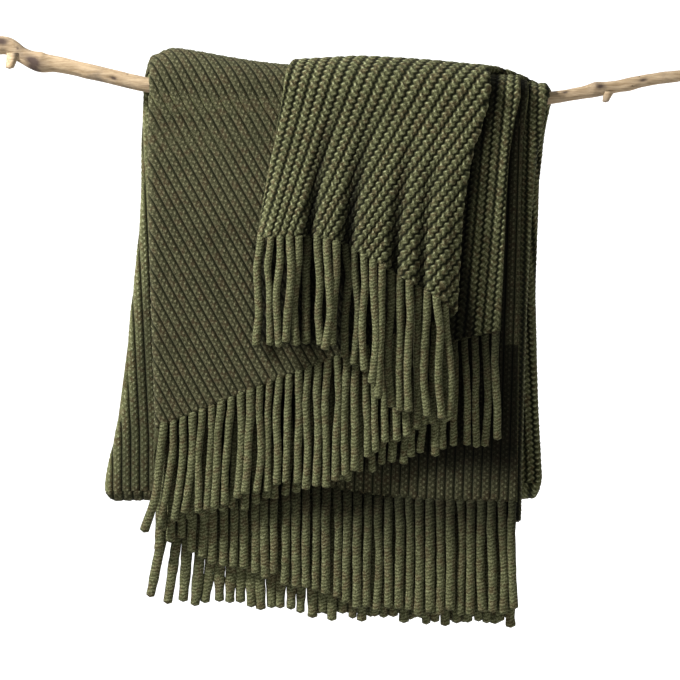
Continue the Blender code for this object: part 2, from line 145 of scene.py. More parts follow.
FRONT_EDGES = {
    "selvage_1": Curve(((-21.0, 309.0), (-30.0, 303.0), (-42.0, 298.0), (-54.0, 295.0),
                        (-76.0, 291.0), (-99.0, 287.0), (-130.0, 281.0), (-196.0, 270.0))),
    "outer_fold_12": Curve(((-28.0, 503.0), (-56.0, 499.0), (-86.0, 491.0), (-106.0, 484.0),
                            (-136.0, 478.0), (-170.0, 473.0), (-268.0, 467.0))),
    "outer_fold_23": Curve(((-34.0, 164.0), (-66.0, 162.0), (-156.0, 162.0),
                            (-256.0, 165.0), (-384.0, 169.0))),
    "outer_selvage_3": Curve(((-40.0, 533.0), (-56.0, 530.5), (-81.0, 525.0),
                              (-106.0, 521.0), (-156.0, 517.0), (-206.0, 515.0),
                              (-286.0, 511.0))),
    "inner_selvage_3": Curve(((-46.0, 540.0), (-81.0, 536.0), (-106.0, 533.0),
                              (-206.0, 531.0), (-456.0, 528.0))),
    "inner_fold_23": Curve(((-42.0, 166.0), (-156.0, 166.0), (-356.0, 168.0),
                            (-431.0, 165.0))),
    "inner_fold_12": Curve(((-46.0, 561.0), (-81.0, 553.5), (-106.0, 549.0),
                            (-156.0, 543.5), (-260.0, 537.5), (-477.0, 531.0))),
    "inner_selvage_1": Curve(((-46.0, 330.0), (-477.0, 320.0))),
}
BACK_EDGES = {
    "left_fold": Curve(((-51.0, 155.0), (-88.0, 153.0), (-149.0, 152.5), (-210.0, 148.0),
                        (-277.0, 141.0), (-346.0, 135.0), (-400.0, 124.0), (-433.0, 117.0),
                        (-448.0, 116.5), (-456.0, 125.0))),
    "right_fold": Curve(((-46.0, 565.0), (-56.0, 563.0), (-81.0, 558.0), (-106.0, 554.5),
                         (-156.0, 550.5), (-256.0, 548.0), (-356.0, 550.0),
                         (-420.0, 553.0), (-439.0, 553.0), (-447.0, 546.0))),
    "selvage_1": Curve(((-46.0, 318.0), (-456.0, 300.0))),
    "selvage_3": Curve(((-46.0, 534.0), (-256.0, 532.0), (-456.0, 522.0))),
}
HEMS = {
    "outer_1": Curve(((270.0, -196.0), (312.0, -194.0), (357.0, -202.0), (384.0, -218.0),
                      (412.0, -234.0), (442.0, -251.0), (467.0, -268.0))),
    "outer_2": Curve(((169.0, -384.0), (322.0, -323.0), (467.0, -271.0))),
    "outer_3": Curve(((169.0, -386.0), (322.0, -336.0), (467.0, -297.0), (512.0, -287.0))),
    "inner_3": Curve(((165.0, -412.0), (176.0, -398.0), (200.0, -399.0), (240.0, -412.0),
                      (312.0, -436.0), (412.0, -453.0), (527.0, -457.0))),
    "inner_2": Curve(((165.0, -426.0), (200.0, -445.0), (312.0, -456.0), (412.0, -468.0),
                      (530.0, -477.0))),
    "inner_1": Curve(((320.0, -462.0), (412.0, -470.0), (530.0, -478.0))),
}
FLAP_TIPS = Curve(((262.0, -300.0, -2.0), (322.0, -304.0, -1.0), (350.0, -306.0, -2.0),
                   (372.0, -326.0, -1.0), (400.0, -358.0, -1.0), (422.0, -368.0, 0.0),
                   (449.0, -371.0, 2.0), (470.0, -378.0, 5.0)))
# Level counted from the branch outwards, third, and the edges where its share is 0 and 1
LAYERS = {
    "inner_1": (0, 1, "inner_selvage_1", "inner_fold_12"),
    "inner_2": (1, 2, "inner_fold_12", "inner_fold_23"),
    "inner_3": (2, 3, "inner_fold_23", "inner_selvage_3"),
    "outer_3": (3, 3, "outer_fold_23", "outer_selvage_3"),
    "outer_2": (4, 2, "outer_fold_12", "outer_fold_23"),
    "outer_1": (5, 1, "selvage_1", "outer_fold_12"),
}
BACK_SIDES = {1: ("selvage_1", "right_fold"), 2: ("right_fold", "left_fold"),
              3: ("left_fold", "selvage_3")}


@dataclass(frozen=True)
class Folds:
    """How the one sheet hangs: every point of its middle surface, in millimetres."""

    pitch_top: float = 5.0
    pitch_front: float = 8.2
    pitch_back: float = 5.6
    growth_depth: float = 150.0
    spread: float = 12.0
    thickness: float = 3.0
    seat_gap: float = 0.3
    spring_z: float = -50.0
    turn_start: float = 0.42
    flap_turn_share: float = 0.3
    ruffle_swell: float = 8.5
    ruffle_height: float = 150.0
    # flap_left, gully_reach, gully_foot and low_front_z place the painted shade on the panel, the
    # strip and the inner layer.
    flap_left: float = 262.0
    gully_reach: float = 15.0
    gully_foot: tuple[float, float, float] = (474.0, -268.0, 0.08)
    low_front_z: float = -300.0
    ruffle_valleys: tuple[tuple[float, float, float], ...] = (
        (0.26, 0.040, 8.0), (0.46, 0.048, 8.5), (0.70, 0.040, 7.5), (0.84, 0.035, 6.0))
    crest_1: Curve = Curve(((309.0, 34.0), (342.0, 37.0), (372.0, 39.5), (412.0, 38.5),
                            (452.0, 36.0), (482.0, 33.0), (500.0, 31.6)))
    crest_2: Curve = Curve(((164.0, 28.0), (171.0, 31.5), (178.0, 36.0), (187.0, 38.8),
                            (212.0, 37.0), (242.0, 33.5),
                            (272.0, 30.5), (302.0, 29.0), (342.0, 29.0), (372.0, 29.5),
                            (412.0, 29.5), (452.0, 28.8), (482.0, 27.5), (502.0, 26.4),
                            (560.0, 25.0)))
    back_fold: Curve = Curve(((117.0, -448.0), (553.0, -439.0)))

    def pitch(self, z: np.ndarray, low: float) -> np.ndarray:
        """Distance between neighbouring layers at a height."""
        return mix(self.pitch_top, low, ease((self.spring_z - z) / self.growth_depth))

    def front_y(self, level: float, z: np.ndarray) -> np.ndarray:
        """Depth of a front leg."""
        return -(self.spread + level * self.pitch(z, self.pitch_front))

    def back_y(self, level: float | np.ndarray, z: np.ndarray) -> np.ndarray:
        """Depth of a back leg."""
        return self.spread + level * self.pitch(z, self.pitch_back)

    def crest(self, level: int, third: int, x: np.ndarray) -> np.ndarray:
        """Height of a layer's crest above the branch's axis."""
        if third == 1 and level == 5:
            return self.crest_1.at(x)
        seat = BRANCH_LINE.at(x, 2) + self.seat_gap + self.thickness / 2
        return mix(seat, self.crest_2.at(x), level / 4.0)

    def sides(self, layer: str, part: Part, z: np.ndarray) -> tuple[np.ndarray, np.ndarray]:
        """Where a layer's width starts and ends at a height.

        Args:
            layer: Name of the layer.
            part: Front leg, or any stretch behind.
            z: Heights.

        Returns:
            The places along X of its two ends, short of the turns.
        """
        level, third = LAYERS[layer][:2]
        front = part is Part.FRONT
        names = LAYERS[layer][2:] if front else BACK_SIDES[third]
        low = self.pitch_front if front else self.pitch_back
        ends = []
        for name in names:
            outline = (FRONT_EDGES if front else BACK_EDGES)[name].at(z)
            inset = 0.0 if "selvage" in name else self.pitch(z, low) / 2 + self.thickness / 2
            at_left = "fold_23" in name or name == "left_fold"
            ends.append(outline + (inset if at_left else -inset))
        return ends[0], ends[1]

    def ruffle(self, layer: str, share: np.ndarray, rise: np.ndarray) -> np.ndarray:
        """Outward swell of the flap's hem, with its deep valleys."""
        if layer != "outer_1":
            return np.zeros(np.broadcast(share, rise).shape)
        swell = self.ruffle_swell
        for place, half_width, depth in self.ruffle_valleys:
            swell = swell - depth * np.exp(-(((share - place) / half_width) ** 4))
        edge = ease(np.minimum(share, 1.0 - share) / 0.06)
        return (1.0 - rise) ** 1.4 * np.maximum(swell, 0.0) * edge

    def painted_shade(self, layer: str, points: np.ndarray, share: np.ndarray) -> np.ndarray:
        """How deep in the painted shade of its neighbours each point of a front leg lies, 0 to 1; the
        colour is darkened by it.

        Args:
            layer: Name of the layer.
            points: Points in millimetres.
            share: Share of the layer's width at each point.

        Returns:
            The depth of the painted shade, 0 in the open.
        """
        x, z = points[..., 0], points[..., 2]
        # Painted shade: the flap's ruffle gullies, the panel under the flap's strands, the strip
        # beside the flap's fold edge and the inner layers beside the selvages and under the strands
        # are darkened in colour.
        if layer == "outer_1":
            rise = np.clip((z - HEMS[layer].at(x)) / self.ruffle_height, 0.0, 1.0)
            valleys = sum(depth / self.ruffle_swell * np.exp(-(((share - place) / half_width) ** 2))
                          for place, half_width, depth in self.ruffle_valleys)
            return np.clip(1.3 * valleys * (1.0 - rise) ** 0.7, 0.0, 1.0)
        if layer == "outer_2":
            under = ease((x - self.flap_left) / 8.0)
            under = under * ease((HEMS["outer_1"].at(x) + 4.0 - z) / 10.0)
            return 0.85 * under * ease((z - FLAP_TIPS.at(x) + 10.0) / 20.0)
        if layer == "outer_3":
            foot_x, foot_z, slant = self.gully_foot
            edge = np.maximum(FRONT_EDGES["outer_fold_12"].at(z), foot_x + (foot_z - z) * slant)
            return 0.95 * ease((edge + self.gully_reach - x) / 9.0) * ease((-24.0 - z) / 14.0)
        if layer == "inner_3":
            past = x - FRONT_EDGES["outer_selvage_3"].at(z)
            beside = 0.95 * np.exp(-np.maximum(past - 3.0, 0.0) / 9.0)
            below = 0.30 + 0.60 * ease((z - HEMS[layer].at(x) - 6.0) / 45.0)
            beside = beside * ease((-28.0 - z) / 14.0)
            return np.clip(np.where(z < self.low_front_z, below, beside), 0.0, 1.0)
        if layer == "inner_2":
            past = x - FRONT_EDGES["inner_selvage_3"].at(z)
            return 0.8 * np.exp(-np.maximum(past, 0.0) / 5.0) * ease((-30.0 - z) / 14.0)
        return np.zeros(x.shape)

    def point(self, layer: str, part: Part, place: np.ndarray, share: np.ndarray) -> np.ndarray:
        """Points of a layer's middle surface.

        Args:
            layer: Name of the layer.
            part: Stretch along the length.
            place: Rise from the hem (0 to 1), angle over the branch (0 to pi),
                fall behind (0 to 1), or angle in the bottom fold (0 to pi).
            share: Share of the layer's width.

        Returns:
            Points in millimetres, one more axis than place and share.
        """
        level, third = LAYERS[layer][:2]
        place, share = np.broadcast_arrays(np.asarray(place, float), np.asarray(share, float))
        if part is Part.ARC:
            spring = np.float64(self.spring_z)
            start, end = self.sides(layer, Part.FRONT, spring)
            back_start, back_end = self.sides(layer, Part.BACK, spring)
            first = self.turn_start
            if layer == "outer_1":
                first = first * np.minimum(share / self.flap_turn_share, 1.0)
            turned = ease((place / math.pi - first) / (1.0 - first))
            x = mix(mix(start, end, share), mix(back_start, back_end, share), turned)
            axis = BRANCH_LINE.at(x)
            y = mix(self.front_y(level, axis), self.back_y(level, axis),
                    (1.0 - np.cos(place)) / 2)
            return np.stack((x, y, axis + self.crest(level, third, x) * np.sin(place)), -1)
        z = np.full(share.shape, -200.0 if part is not Part.BOTTOM else -440.0)
        offset = 3.5 - third
        for _ in range(6):
            if part is Part.BOTTOM:
                z = z - 0.9 * self.pitch(z, self.pitch_back) * np.sin(place)
            start, end = self.sides(layer, part, z)
            x = mix(start, end, share)
            if part is Part.FRONT:
                z = mix(HEMS[layer].at(x), BRANCH_LINE.at(x), place)
            elif part is Part.BACK:
                z = mix(BRANCH_LINE.at(x), self.back_fold.at(x), place)
            else:
                z = self.back_fold.at(x)
        if part is Part.FRONT:
            y = self.front_y(level, z) - self.ruffle(layer, share, place)
        elif part is Part.BACK:
            y = self.back_y(level, z)
        else:
            y = self.back_y(2.5 + offset * np.cos(place), z)
            z = z - offset * self.pitch(z, self.pitch_back) * np.sin(place)
        return np.stack((x, y, z), -1)


FOLDS = Folds()


@dataclass(frozen=True)
class Stretch:
    """A run of rows on one part of a layer, from one place to another."""

    part: Part
    start: float
    end: float


@dataclass(frozen=True)
class RibLay:
    """How straight ribs lie on an unrolled face.

    lean is the sideways run for each millimetre up, as far as reach.
    """

    pitch: float
    stitch: float
    lean: float
    origin: float = 0.0
    reach: float = 400.0

    def coordinates(self, across: np.ndarray, up: np.ndarray) -> tuple[np.ndarray, np.ndarray]:
        """Rib number and stitch number of each point.

        Args:
            across: Unrolled place along the width.
            up: Unrolled height, 0 beside the branch.

        Returns:
            Rib number and stitch number.
        """
        turn = math.atan(self.lean)
        label = (across - self.origin - self.lean * np.minimum(up, self.reach)) * math.cos(turn)
        stitch = (up * math.cos(turn) + across * math.sin(turn)) / self.stitch
        return label / self.pitch, stitch


@dataclass(frozen=True)
class FannedLay(RibLay):
    """Ribs that fan out: each leans by its own place on the base line.

    lean is the middle slope, spread what it changes by to either side of
    middle over about half_span. The fan starts at base and ends at reach, and the
    ribs keep their pitch at pivot, a share of that height.
    """

    spread: float = 0.0
    middle: float = 0.0
    half_span: float = 60.0
    base: float = 0.0
    pivot: float = 0.45

    def slope(self, label: np.ndarray) -> np.ndarray:
        """Sideways run for each millimetre up, by place on the base line."""
        return self.lean + self.spread * np.tanh((label - self.middle) / self.half_span)

    def table(self) -> tuple[np.ndarray, ...]:
        """Rib and stitch offset along the base line.

        Returns:
            Places on the base line, rib number there and stitch offset in millimetres.
        """
        label = np.linspace(-160.0, 420.0, 581)
        slope = self.slope(label)
        stretch = 1.0 + np.gradient(slope, label) * self.pivot * self.reach
        secant = np.sqrt(1.0 + slope**2)
        step = label[1] - label[0]
        return (label, np.cumsum(stretch / secant / self.pitch) * step,
                np.cumsum(slope / secant * stretch) * step)

    def coordinates(self, across: np.ndarray, up: np.ndarray) -> tuple[np.ndarray, np.ndarray]:
        """Rib number and stitch number of each point.

        Args:
            across: Unrolled place along the width.
            up: Unrolled height, 0 beside the branch.

        Returns:
            Rib number and stitch number.
        """
        height = np.clip(up - self.base, -60.0, self.reach)
        label = across - self.origin - self.lean * height
        for _ in range(10):
            gap = across - self.origin - self.slope(label) * height - label
            rate = self.spread / self.half_span * height
            label = label + gap / (1.0 + np.maximum(rate, 0.0))
        places, ribs, offsets = self.table()
        secant = np.sqrt(1.0 + self.slope(label) ** 2)
        along = (up - self.base - self.pivot * self.reach) * secant
        return (np.interp(label, places, ribs),
                (along + np.interp(label, places, offsets)) / self.stitch)


def rope_relief(rib: np.ndarray, stitch: np.ndarray) -> np.ndarray:
    """Height of the rope face, 0 in a groove to about 1 on a stitch."""
    swing = rib + 0.09 * np.sin(2 * np.pi * stitch)
    part = swing - np.floor(swing) - 0.5
    number = np.floor(swing)
    round_top = np.sqrt(np.maximum(1.0 - (2.0 * part) ** 2 * 0.97, 0.0))
    phase = stitch + 0.5 * (number % 2) + 0.5 * ease((part + 0.10) / 0.20)
    bead = 0.5 + 0.5 * np.cos(2 * np.pi * phase)
    return round_top * (0.66 + 0.34 * bead)


def groove_relief(rib: np.ndarray, stitch: np.ndarray) -> np.ndarray:
    """Height of the grooved face, 0 in a groove to about 1 on a dot."""
    part = rib - np.floor(rib) - 0.5
    number = np.floor(rib)
    side = 0.5 - np.abs(part)
    groove = 1.0 - np.exp(-((side / 0.11) ** 2))
    crown = 1.0 - 0.25 * (2.0 * part) ** 2
    phase = stitch + 0.5 * (number % 2)
    dot = np.exp(-(((part - 0.16) / 0.15) ** 2)) * (0.5 + 0.5 * np.cos(2 * np.pi * phase)) ** 1.6
    small = np.exp(-(((part + 0.2) / 0.14) ** 2)) * (0.5 + 0.5 * np.cos(2 * np.pi * (phase + 0.5)))
    return groove * (0.50 * crown + 0.42 * dot + 0.22 * small)


def add_grid(bm: bmesh.types.BMesh, points: np.ndarray,
             stitch: np.ndarray | None = None, painted_shade: np.ndarray | None = None) -> None:
    """Add a regular grid laid on an array of points to a mesh.

    Args:
        bm: Mesh that the grid goes into.
        points: Points in millimetres, rows by columns by 3.
        stitch: Stitch number of each point, kept as the attribute of that name.
        painted_shade: Depth of the painted shade at each point, kept as the attribute of that name.
    """
    rows, columns = points.shape[:2]
    values = {"stitch": stitch, "painted_shade": painted_shade}
    kept = [(bm.verts.layers.float.get(key) or bm.verts.layers.float.new(key), value)
            for key, value in values.items() if value is not None]
    made = bmesh.ops.create_grid(bm, x_segments=columns - 1, y_segments=rows - 1, size=1.0)
    for vert in made["verts"]:
        column = round((vert.co.x + 1) / 2 * (columns - 1))
        row = round((vert.co.y + 1) / 2 * (rows - 1))
        vert.co = Vector(points[row, column]) * MM
        for layer, value in kept:
            vert[layer] = float(value[row, column])


def grid_object(name: str, points: np.ndarray, uv: np.ndarray | None,
                painted_shade: np.ndarray | None = None, flip: bool = False) -> bpy.types.Object:
    """Lay a regular grid on an array of points.

    Args:
        name: Name of the new object.
        points: Points in millimetres, rows by columns by 3.
        uv: Rib and stitch numbers for the UV map, rows by columns by 2.
        painted_shade: Depth of the painted shade of neighbouring folds at each point, 0 to 1.
        flip: Turn the faces round.

    Returns:
        The object, linked to the scene.
    """
    rows, columns = points.shape[:2]
    bm = bmesh.new()
    bmesh.ops.create_grid(bm, x_segments=columns - 1, y_segments=rows - 1, size=1.0)
    if flip:
        bmesh.ops.reverse_faces(bm, faces=bm.faces[:])
    mesh = bpy.data.meshes.new(name)
    bm.to_mesh(mesh)
    bm.free()
    flat = np.empty(len(mesh.vertices) * 3, dtype=np.float32)
    mesh.vertices.foreach_get("co", flat)
    flat = flat.reshape(-1, 3)
    column = np.rint((flat[:, 0] + 1) / 2 * (columns - 1)).astype(int)
    row = np.rint((flat[:, 1] + 1) / 2 * (rows - 1)).astype(int)
    mesh.vertices.foreach_set("co", (points[row, column] * MM).astype(np.float32).ravel())
    if uv is not None:
        corner = np.empty(len(mesh.loops), dtype=np.int32)
        mesh.loops.foreach_get("vertex_index", corner)
        layer = mesh.uv_layers.new(name="knit")
        layer.data.foreach_set("uv", (uv[row, column][corner] * 0.01).astype(np.float32).ravel())
    # painted shade: kept as a point attribute that darkens the colour in the material
    if painted_shade is not None:
        depth = mesh.attributes.new("painted_shade", "FLOAT", "POINT")
        depth.data.foreach_set("value", painted_shade[row, column].astype(np.float32).ravel())
    mesh.shade_smooth()
    mesh.update()
    obj = bpy.data.objects.new(name, mesh)
    bpy.context.scene.collection.objects.link(obj)
    return obj


def half_turn(start: np.ndarray, end: np.ndarray, side: float,
              angles: np.ndarray) -> tuple[np.ndarray, np.ndarray]:
    """Points on the turns between the edges of two thirds.

    Args:
        start: Points in millimetres where the turns start.
        end: Points where they end.
        side: 1 for a turn that bulges to the right, -1 to the left.
        angles: Angles round the turn, 0 to pi.

    Returns:
        The points, with one more axis than start, and how far each turn bulges.
    """
    reach = np.minimum(np.linalg.norm(start - end, axis=-1) / 2, FOLDS.pitch_front / 2)
    middle, half = (start + end)[..., None, :] / 2, (start - end)[..., None, :] / 2
    points = middle + half * np.cos(angles)[:, None]
    points[..., 0] += side * reach[..., None] * np.sin(angles)
    return points, reach


@dataclass(frozen=True)
class FacePatch:
    """One visible face of the folded sheet, with its knit raised from the middle surface.

    away tells whether the face looks away from the branch or towards it, shares is its
    run of the layer's width, cell the size of its mesh, and turn the turn into the next
    third that it takes along.
    """

    name: str
    layer: str
    away: bool
    stretches: tuple[Stretch, ...]
    shares: tuple[float, float]
    face: KnitFace
    lay: RibLay
    cell: float
    turn: str = ""
    base: float = 1.1
    height: float = 1.9
    turn_radius: float = 4.0
    selvage_round: float = 2.6
    hem_round: float = 2.2

    def rows(self) -> list[tuple[Part, float]]:
        """Stations along the length, about one cell apart."""
        stations: list[tuple[Part, float]] = []
        middle = np.array([(self.shares[0] + self.shares[1]) / 2])
        for stretch in self.stretches:
            probe = np.linspace(stretch.start, stretch.end, 24)
            line = FOLDS.point(self.layer, stretch.part, probe, middle)
            length = np.linalg.norm(np.diff(line, axis=0), axis=1).sum()
            count = max(int(math.ceil(length / self.cell)), 4)
            places = np.linspace(stretch.start, stretch.end, count + 1)
            stations += [(stretch.part, p) for p in (places[1:] if stations else places)]
        return stations

    def block(self, layer: str, rows: list[tuple[Part, float]], shares: np.ndarray) -> np.ndarray:
        """Middle surface of a layer at given rows and shares of the width."""
        out = np.empty((len(rows), len(shares), 3))
        for part in Part:
            picks = [i for i, row in enumerate(rows) if row[0] is part]
            if picks:
                places = np.array([rows[i][1] for i in picks])[:, None]
                out[picks] = FOLDS.point(layer, part, places, shares[None, :])
        return out

    def turn_block(self, rows: list[tuple[Part, float]]) -> tuple[np.ndarray, np.ndarray]:
        """Middle surface and unrolled width of the turn into the next third."""
        half = self.layer.split("_")[0]
        first = int(self.turn[-2])
        start = self.block(f"{half}_{first}", rows, np.array([1.0]))[:, 0]
        end = self.block(f"{half}_{first + 1}", rows, np.array([0.0]))[:, 0]
        count = max(int(math.ceil(math.pi * self.turn_radius / self.cell)), 6)
        angles = np.linspace(0.0, math.pi, count + 1)
        side = 1.0 if first == 1 else -1.0
        points, reach = half_turn(start, end, side, angles)
        own_first = self.layer.endswith(str(first))
        run = angles if own_first else math.pi - angles
        return points, start[:, :1] + side * reach[:, None] * run

    def surface(self) -> tuple[np.ndarray, np.ndarray, np.ndarray]:
        """Middle surface with its unrolled width and height.

        Returns:
            Points, width across and height up, the last two in millimetres.
        """
        rows = self.rows()
        lead: list[tuple[Part, float]] = []
        if rows[0][0] in (Part.BACK, Part.BOTTOM):
            lead = [(Part.ARC, a) for a in np.linspace(0.0, math.pi, 25)[:-1]]
        if rows[0][0] is Part.BOTTOM:
            lead += [(Part.BACK, f) for f in np.linspace(0.0, 1.0, 13)[:-1]]
        every = lead + rows
        probe = self.block(self.layer, every[-1:], np.linspace(*self.shares, 12))
        probe_low = self.block(self.layer, every[:1], np.linspace(*self.shares, 12))
        width = max(np.linalg.norm(np.diff(line[0], axis=0), axis=1).sum()
                    for line in (probe, probe_low))
        count = max(int(math.ceil(width / self.cell)), 4)
        shares = np.linspace(*self.shares, count + 1)
        points = self.block(self.layer, every, shares)
        across = points[..., 0].copy()
        if self.turn:
            bend, bend_across = self.turn_block(every)
            own_first = self.layer.endswith(self.turn[-2])
            if own_first:
                points = np.concatenate((points, bend[:, 1:]), axis=1)
                across = np.concatenate((across, bend_across[:, 1:]), axis=1)
            else:
                points = np.concatenate((bend[:, :-1], points), axis=1)
                across = np.concatenate((bend_across[:, :-1], across), axis=1)
        step = np.linalg.norm(np.diff(points[..., 1:], axis=0), axis=2)
        up = np.concatenate((np.zeros((1, points.shape[1])), np.cumsum(step, axis=0)))
        spring = next((i for i, row in enumerate(every) if row[0] is Part.ARC), None)
        if spring is None:
            up = up - up[-1] + points[-1, :, 2] - BRANCH_LINE.at(points[-1, :, 0])
        elif every[0][0] is Part.FRONT:
            up = up - up[max(spring - 1, 0)]
        cut = len(lead)
        return points[cut:], across[cut:], up[cut:]

    def depth(self, points: np.ndarray) -> np.ndarray:
        """Painted shade of the neighbouring folds at each point of the patch, darkening its colour.
        """
        if self.stretches[0].part is not Part.FRONT:
            # painted shade on a grooved face towards the branch, beside the left fold
            past = BACK_EDGES["left_fold"].at(points[..., 2]) + 14.0 - points[..., 0]
            near = np.exp(-np.maximum(past, 0.0) / 5.0) if self.face is KnitFace.GROOVE else 0.0
            return np.zeros(points.shape[:2]) + 0.6 * near * (not self.away)
        start, end = FOLDS.sides(self.layer, Part.FRONT, points[..., 2])
        share = (points[..., 0] - start) / (end - start)
        return FOLDS.painted_shade(self.layer, points, share)

    def rounding(self, across: np.ndarray, up: np.ndarray) -> np.ndarray:
        """Share of the relief that is left beside a selvage or a hem."""
        edge = np.ones(across.shape)
        third = LAYERS[self.layer][1]
        if third == 1 and self.shares[0] == 0.0:
            edge = np.minimum(edge, np.abs(across - across[:, :1]) / self.selvage_round)
        if third == 3 and self.shares[1] == 1.0:
            edge = np.minimum(edge, np.abs(across - across[:, -1:]) / self.selvage_round)
        if self.stretches[0].part is Part.FRONT and self.stretches[0].start == 0.0:
            edge = np.minimum(edge, (up - up[:1]) / self.hem_round)
        return np.sqrt(np.maximum(1.0 - (1.0 - np.clip(edge, 0.0, 1.0)) ** 2, 0.0))

    def build(self) -> bpy.types.Object:
        """Raise the knit from the middle surface and return the piece."""
        points, across, up = self.surface()
        by_column = np.gradient(points, axis=1)
        by_row = np.gradient(points, axis=0)
        normal = np.cross(by_column, by_row)
        normal /= np.maximum(np.linalg.norm(normal, axis=2, keepdims=True), 1e-9)
        sign = 1.0 if (LAYERS[self.layer][1] != 2) == self.away else -1.0
        rib, stitch = self.lay.coordinates(across, up)
        relief = (rope_relief if self.face is KnitFace.ROPE else groove_relief)(rib, stitch)
        relief = relief * (1.0 + 0.10 * drift(across / 31.0 + 7.0 * np.rint(up / 45.0), 2.0))
        offset = (self.base + self.height * relief) * self.rounding(across, up)
        raised = points + normal * (sign * offset)[..., None]
        return grid_object(self.name, raised, np.stack((rib, stitch), -1),
                           self.depth(points), flip=sign < 0)


@dataclass(frozen=True)
class FringeRow:
    """One row of knitted strands below a hem.

    tips gives the height and the lean of the ends by the place of the root. crowd is
    what a strand gains in half width above its loose end, and shade its painted darkness there.
    """

    name: str
    node: str
    hem: str
    count: int
    first: float
    last: float
    tips: Curve
    half_width: float = 3.9
    half_depth: float = 3.3
    sides: int = 12
    ring_step: float = 1.8
    rung: float = 3.5
    tuck: float = 4.5
    sway: float = 2.4
    proud: float = 0.6
    uneven_end: float = 4.0
    uneven_depth: float = 1.3
    root_depth: float = 2.6
    shade: float = 0.0
    crowd: float = 0.0
    loose_end: float = 24.0
    loosening: float = 16.0

    def course(self, index: int, share: float, salt: float) -> tuple[np.ndarray, float]:
        """Centre line of one strand, from its hidden root to its tip.

        Args:
            index: Number of the strand.
            share: Share of the hem's width where it leaves.
            salt: Number that tells this row's unevenness from another's.

        Returns:
            Points in millimetres, evenly spaced in height, and the strand's length.
        """
        root = FOLDS.point(self.hem, Part.FRONT, np.float64(0.0), np.float64(share))
        tip_z = float(self.tips.at(root[0])) + self.uneven_end * float(wobble(index, salt))
        lean = float(self.tips.at(root[0], 2)) + self.sway * float(wobble(index, salt + 1.0))
        tuck = self.tuck * (1.0 + 0.5 * float(wobble(index, salt + 6.0)))
        length = root[2] + tuck - tip_z
        fall = np.linspace(0.0, 1.0, int(length / self.ring_step) + 1)
        bend = self.sway * wobble(index, salt + 2.0) * np.sin(np.pi * fall)
        bend = bend + 0.5 * self.sway * wobble(index, salt + 4.0) * np.sin(2.3 * np.pi * fall)
        bend = bend + 0.30 * self.sway * drift(4.2 * fall + 9.0 * index, salt + 9.0)
        x = root[0] + lean * fall**1.6 + bend * ease(fall / 0.35)
        hidden = 1.0 - ease(fall * length / (1.5 * tuck))
        swing = self.uneven_depth * wobble(index, salt + 3.0) * ease(fall / 0.4)
        y = root[1] + self.root_depth * hidden - self.proud + swing
        return np.stack((x, y, root[2] + tuck - length * fall), -1), length

    def girth(self, index: int, fall: np.ndarray, length: float, salt: float) -> np.ndarray:
        """Size of each ring against a full one: lumpy, fuller at the tip, closed at both ends."""
        end = np.minimum((1.0 - fall) * length / 2.6, 1.0)
        start = np.minimum(fall * length / 1.2, 1.0)
        close = np.sqrt(np.maximum(1.0 - (1.0 - end) ** 2, 0.0)) * start
        lumps = 0.07 * drift(fall * length / 6.0 + 40.0 * index, salt + 7.0)
        flare = 0.08 * ease((fall - 0.8) / 0.2) + 0.09 * wobble(index, salt + 8.0)
        return (1.0 + lumps + flare) * close

    def strand(self, index: int, share: float, salt: float) -> tuple[np.ndarray, ...]:
        """Points of one strand, rings by sides, closed at both ends.

        Args:
            index: Number of the strand.
            share: Share of the hem's width where it leaves.
            salt: Number that tells this row's unevenness from another's.

        Returns:
            Points in millimetres, and the stitch number and the painted shade at each.
        """
        line, length = self.course(index, share, salt)
        fall = np.linspace(0.0, 1.0, len(line))
        angle = np.linspace(-np.pi, np.pi, self.sides + 1)
        twist = 0.5 * ease((angle + 0.3) / 0.6) * (1.0 - ease((np.abs(angle) - 2.0) / 0.8))
        phase = (fall * length)[:, None] / self.rung + (0.30 * np.abs(angle) + twist)[None, :]
        phase = phase + 0.5 * wobble(index, salt + 5.0)
        size = self.girth(index, fall, length, salt)[:, None]
        loose = ease((fall * length - length + self.loose_end) / self.loosening)
        width = self.half_width + self.crowd * (1.0 - loose)
        across = np.sin(angle)[None, :] * width[:, None] * size
        outward = -np.cos(angle)[None, :] * self.half_depth * size
        tilt = np.gradient(line[:, 0], line[:, 2])
        points = line[:, None, :] + np.stack((across, outward, -across * tilt[:, None]), -1)
        points[:, -1] = points[:, 0]
        # painted shade: darker on the upper part of the strand, in the flap's valleys, and on its
        # sides where it meets its neighbours
        above = self.shade * (1.0 - ease(fall / 0.75)) + self.painted_recess_shade(share) * (1.0 - 0.7 * fall)
        beside = 0.88 * ease((np.abs(angle) - 0.95) / 0.65)
        return points, phase, np.clip(above[:, None] + beside[None, :], 0.0, 1.0)

    def painted_recess_shade(self, share: float) -> float:
        """Painted shade of a strand that hangs in a valley of the flap's hem."""
        if self.hem != "outer_1":
            return 0.0
        depths = [(depth / FOLDS.ruffle_swell) ** 3 * math.exp(-(((share - place) / half_width) ** 2))
                  for place, half_width, depth in FOLDS.ruffle_valleys]
        return 0.75 * min(sum(depths), 1.0)

    def build(self, salt: float) -> bpy.types.Object:
        """Join the row's strands in one piece.

        Args:
            salt: Number that tells this row's unevenness from another's.

        Returns:
            The row as one object.
        """
        shares = np.linspace(self.first, self.last, self.count)
        bm = bmesh.new()
        for index, share in enumerate(shares):
            add_grid(bm, *self.strand(index, float(share), salt))
        bmesh.ops.remove_doubles(bm, verts=bm.verts[:], dist=0.00002)
        bmesh.ops.recalc_face_normals(bm, faces=bm.faces[:])
        mesh = bpy.data.meshes.new(self.name)
        bm.to_mesh(mesh)
        bm.free()
        mesh.shade_smooth()
        obj = bpy.data.objects.new(self.name, mesh)
        bpy.context.scene.collection.objects.link(obj)
        return obj


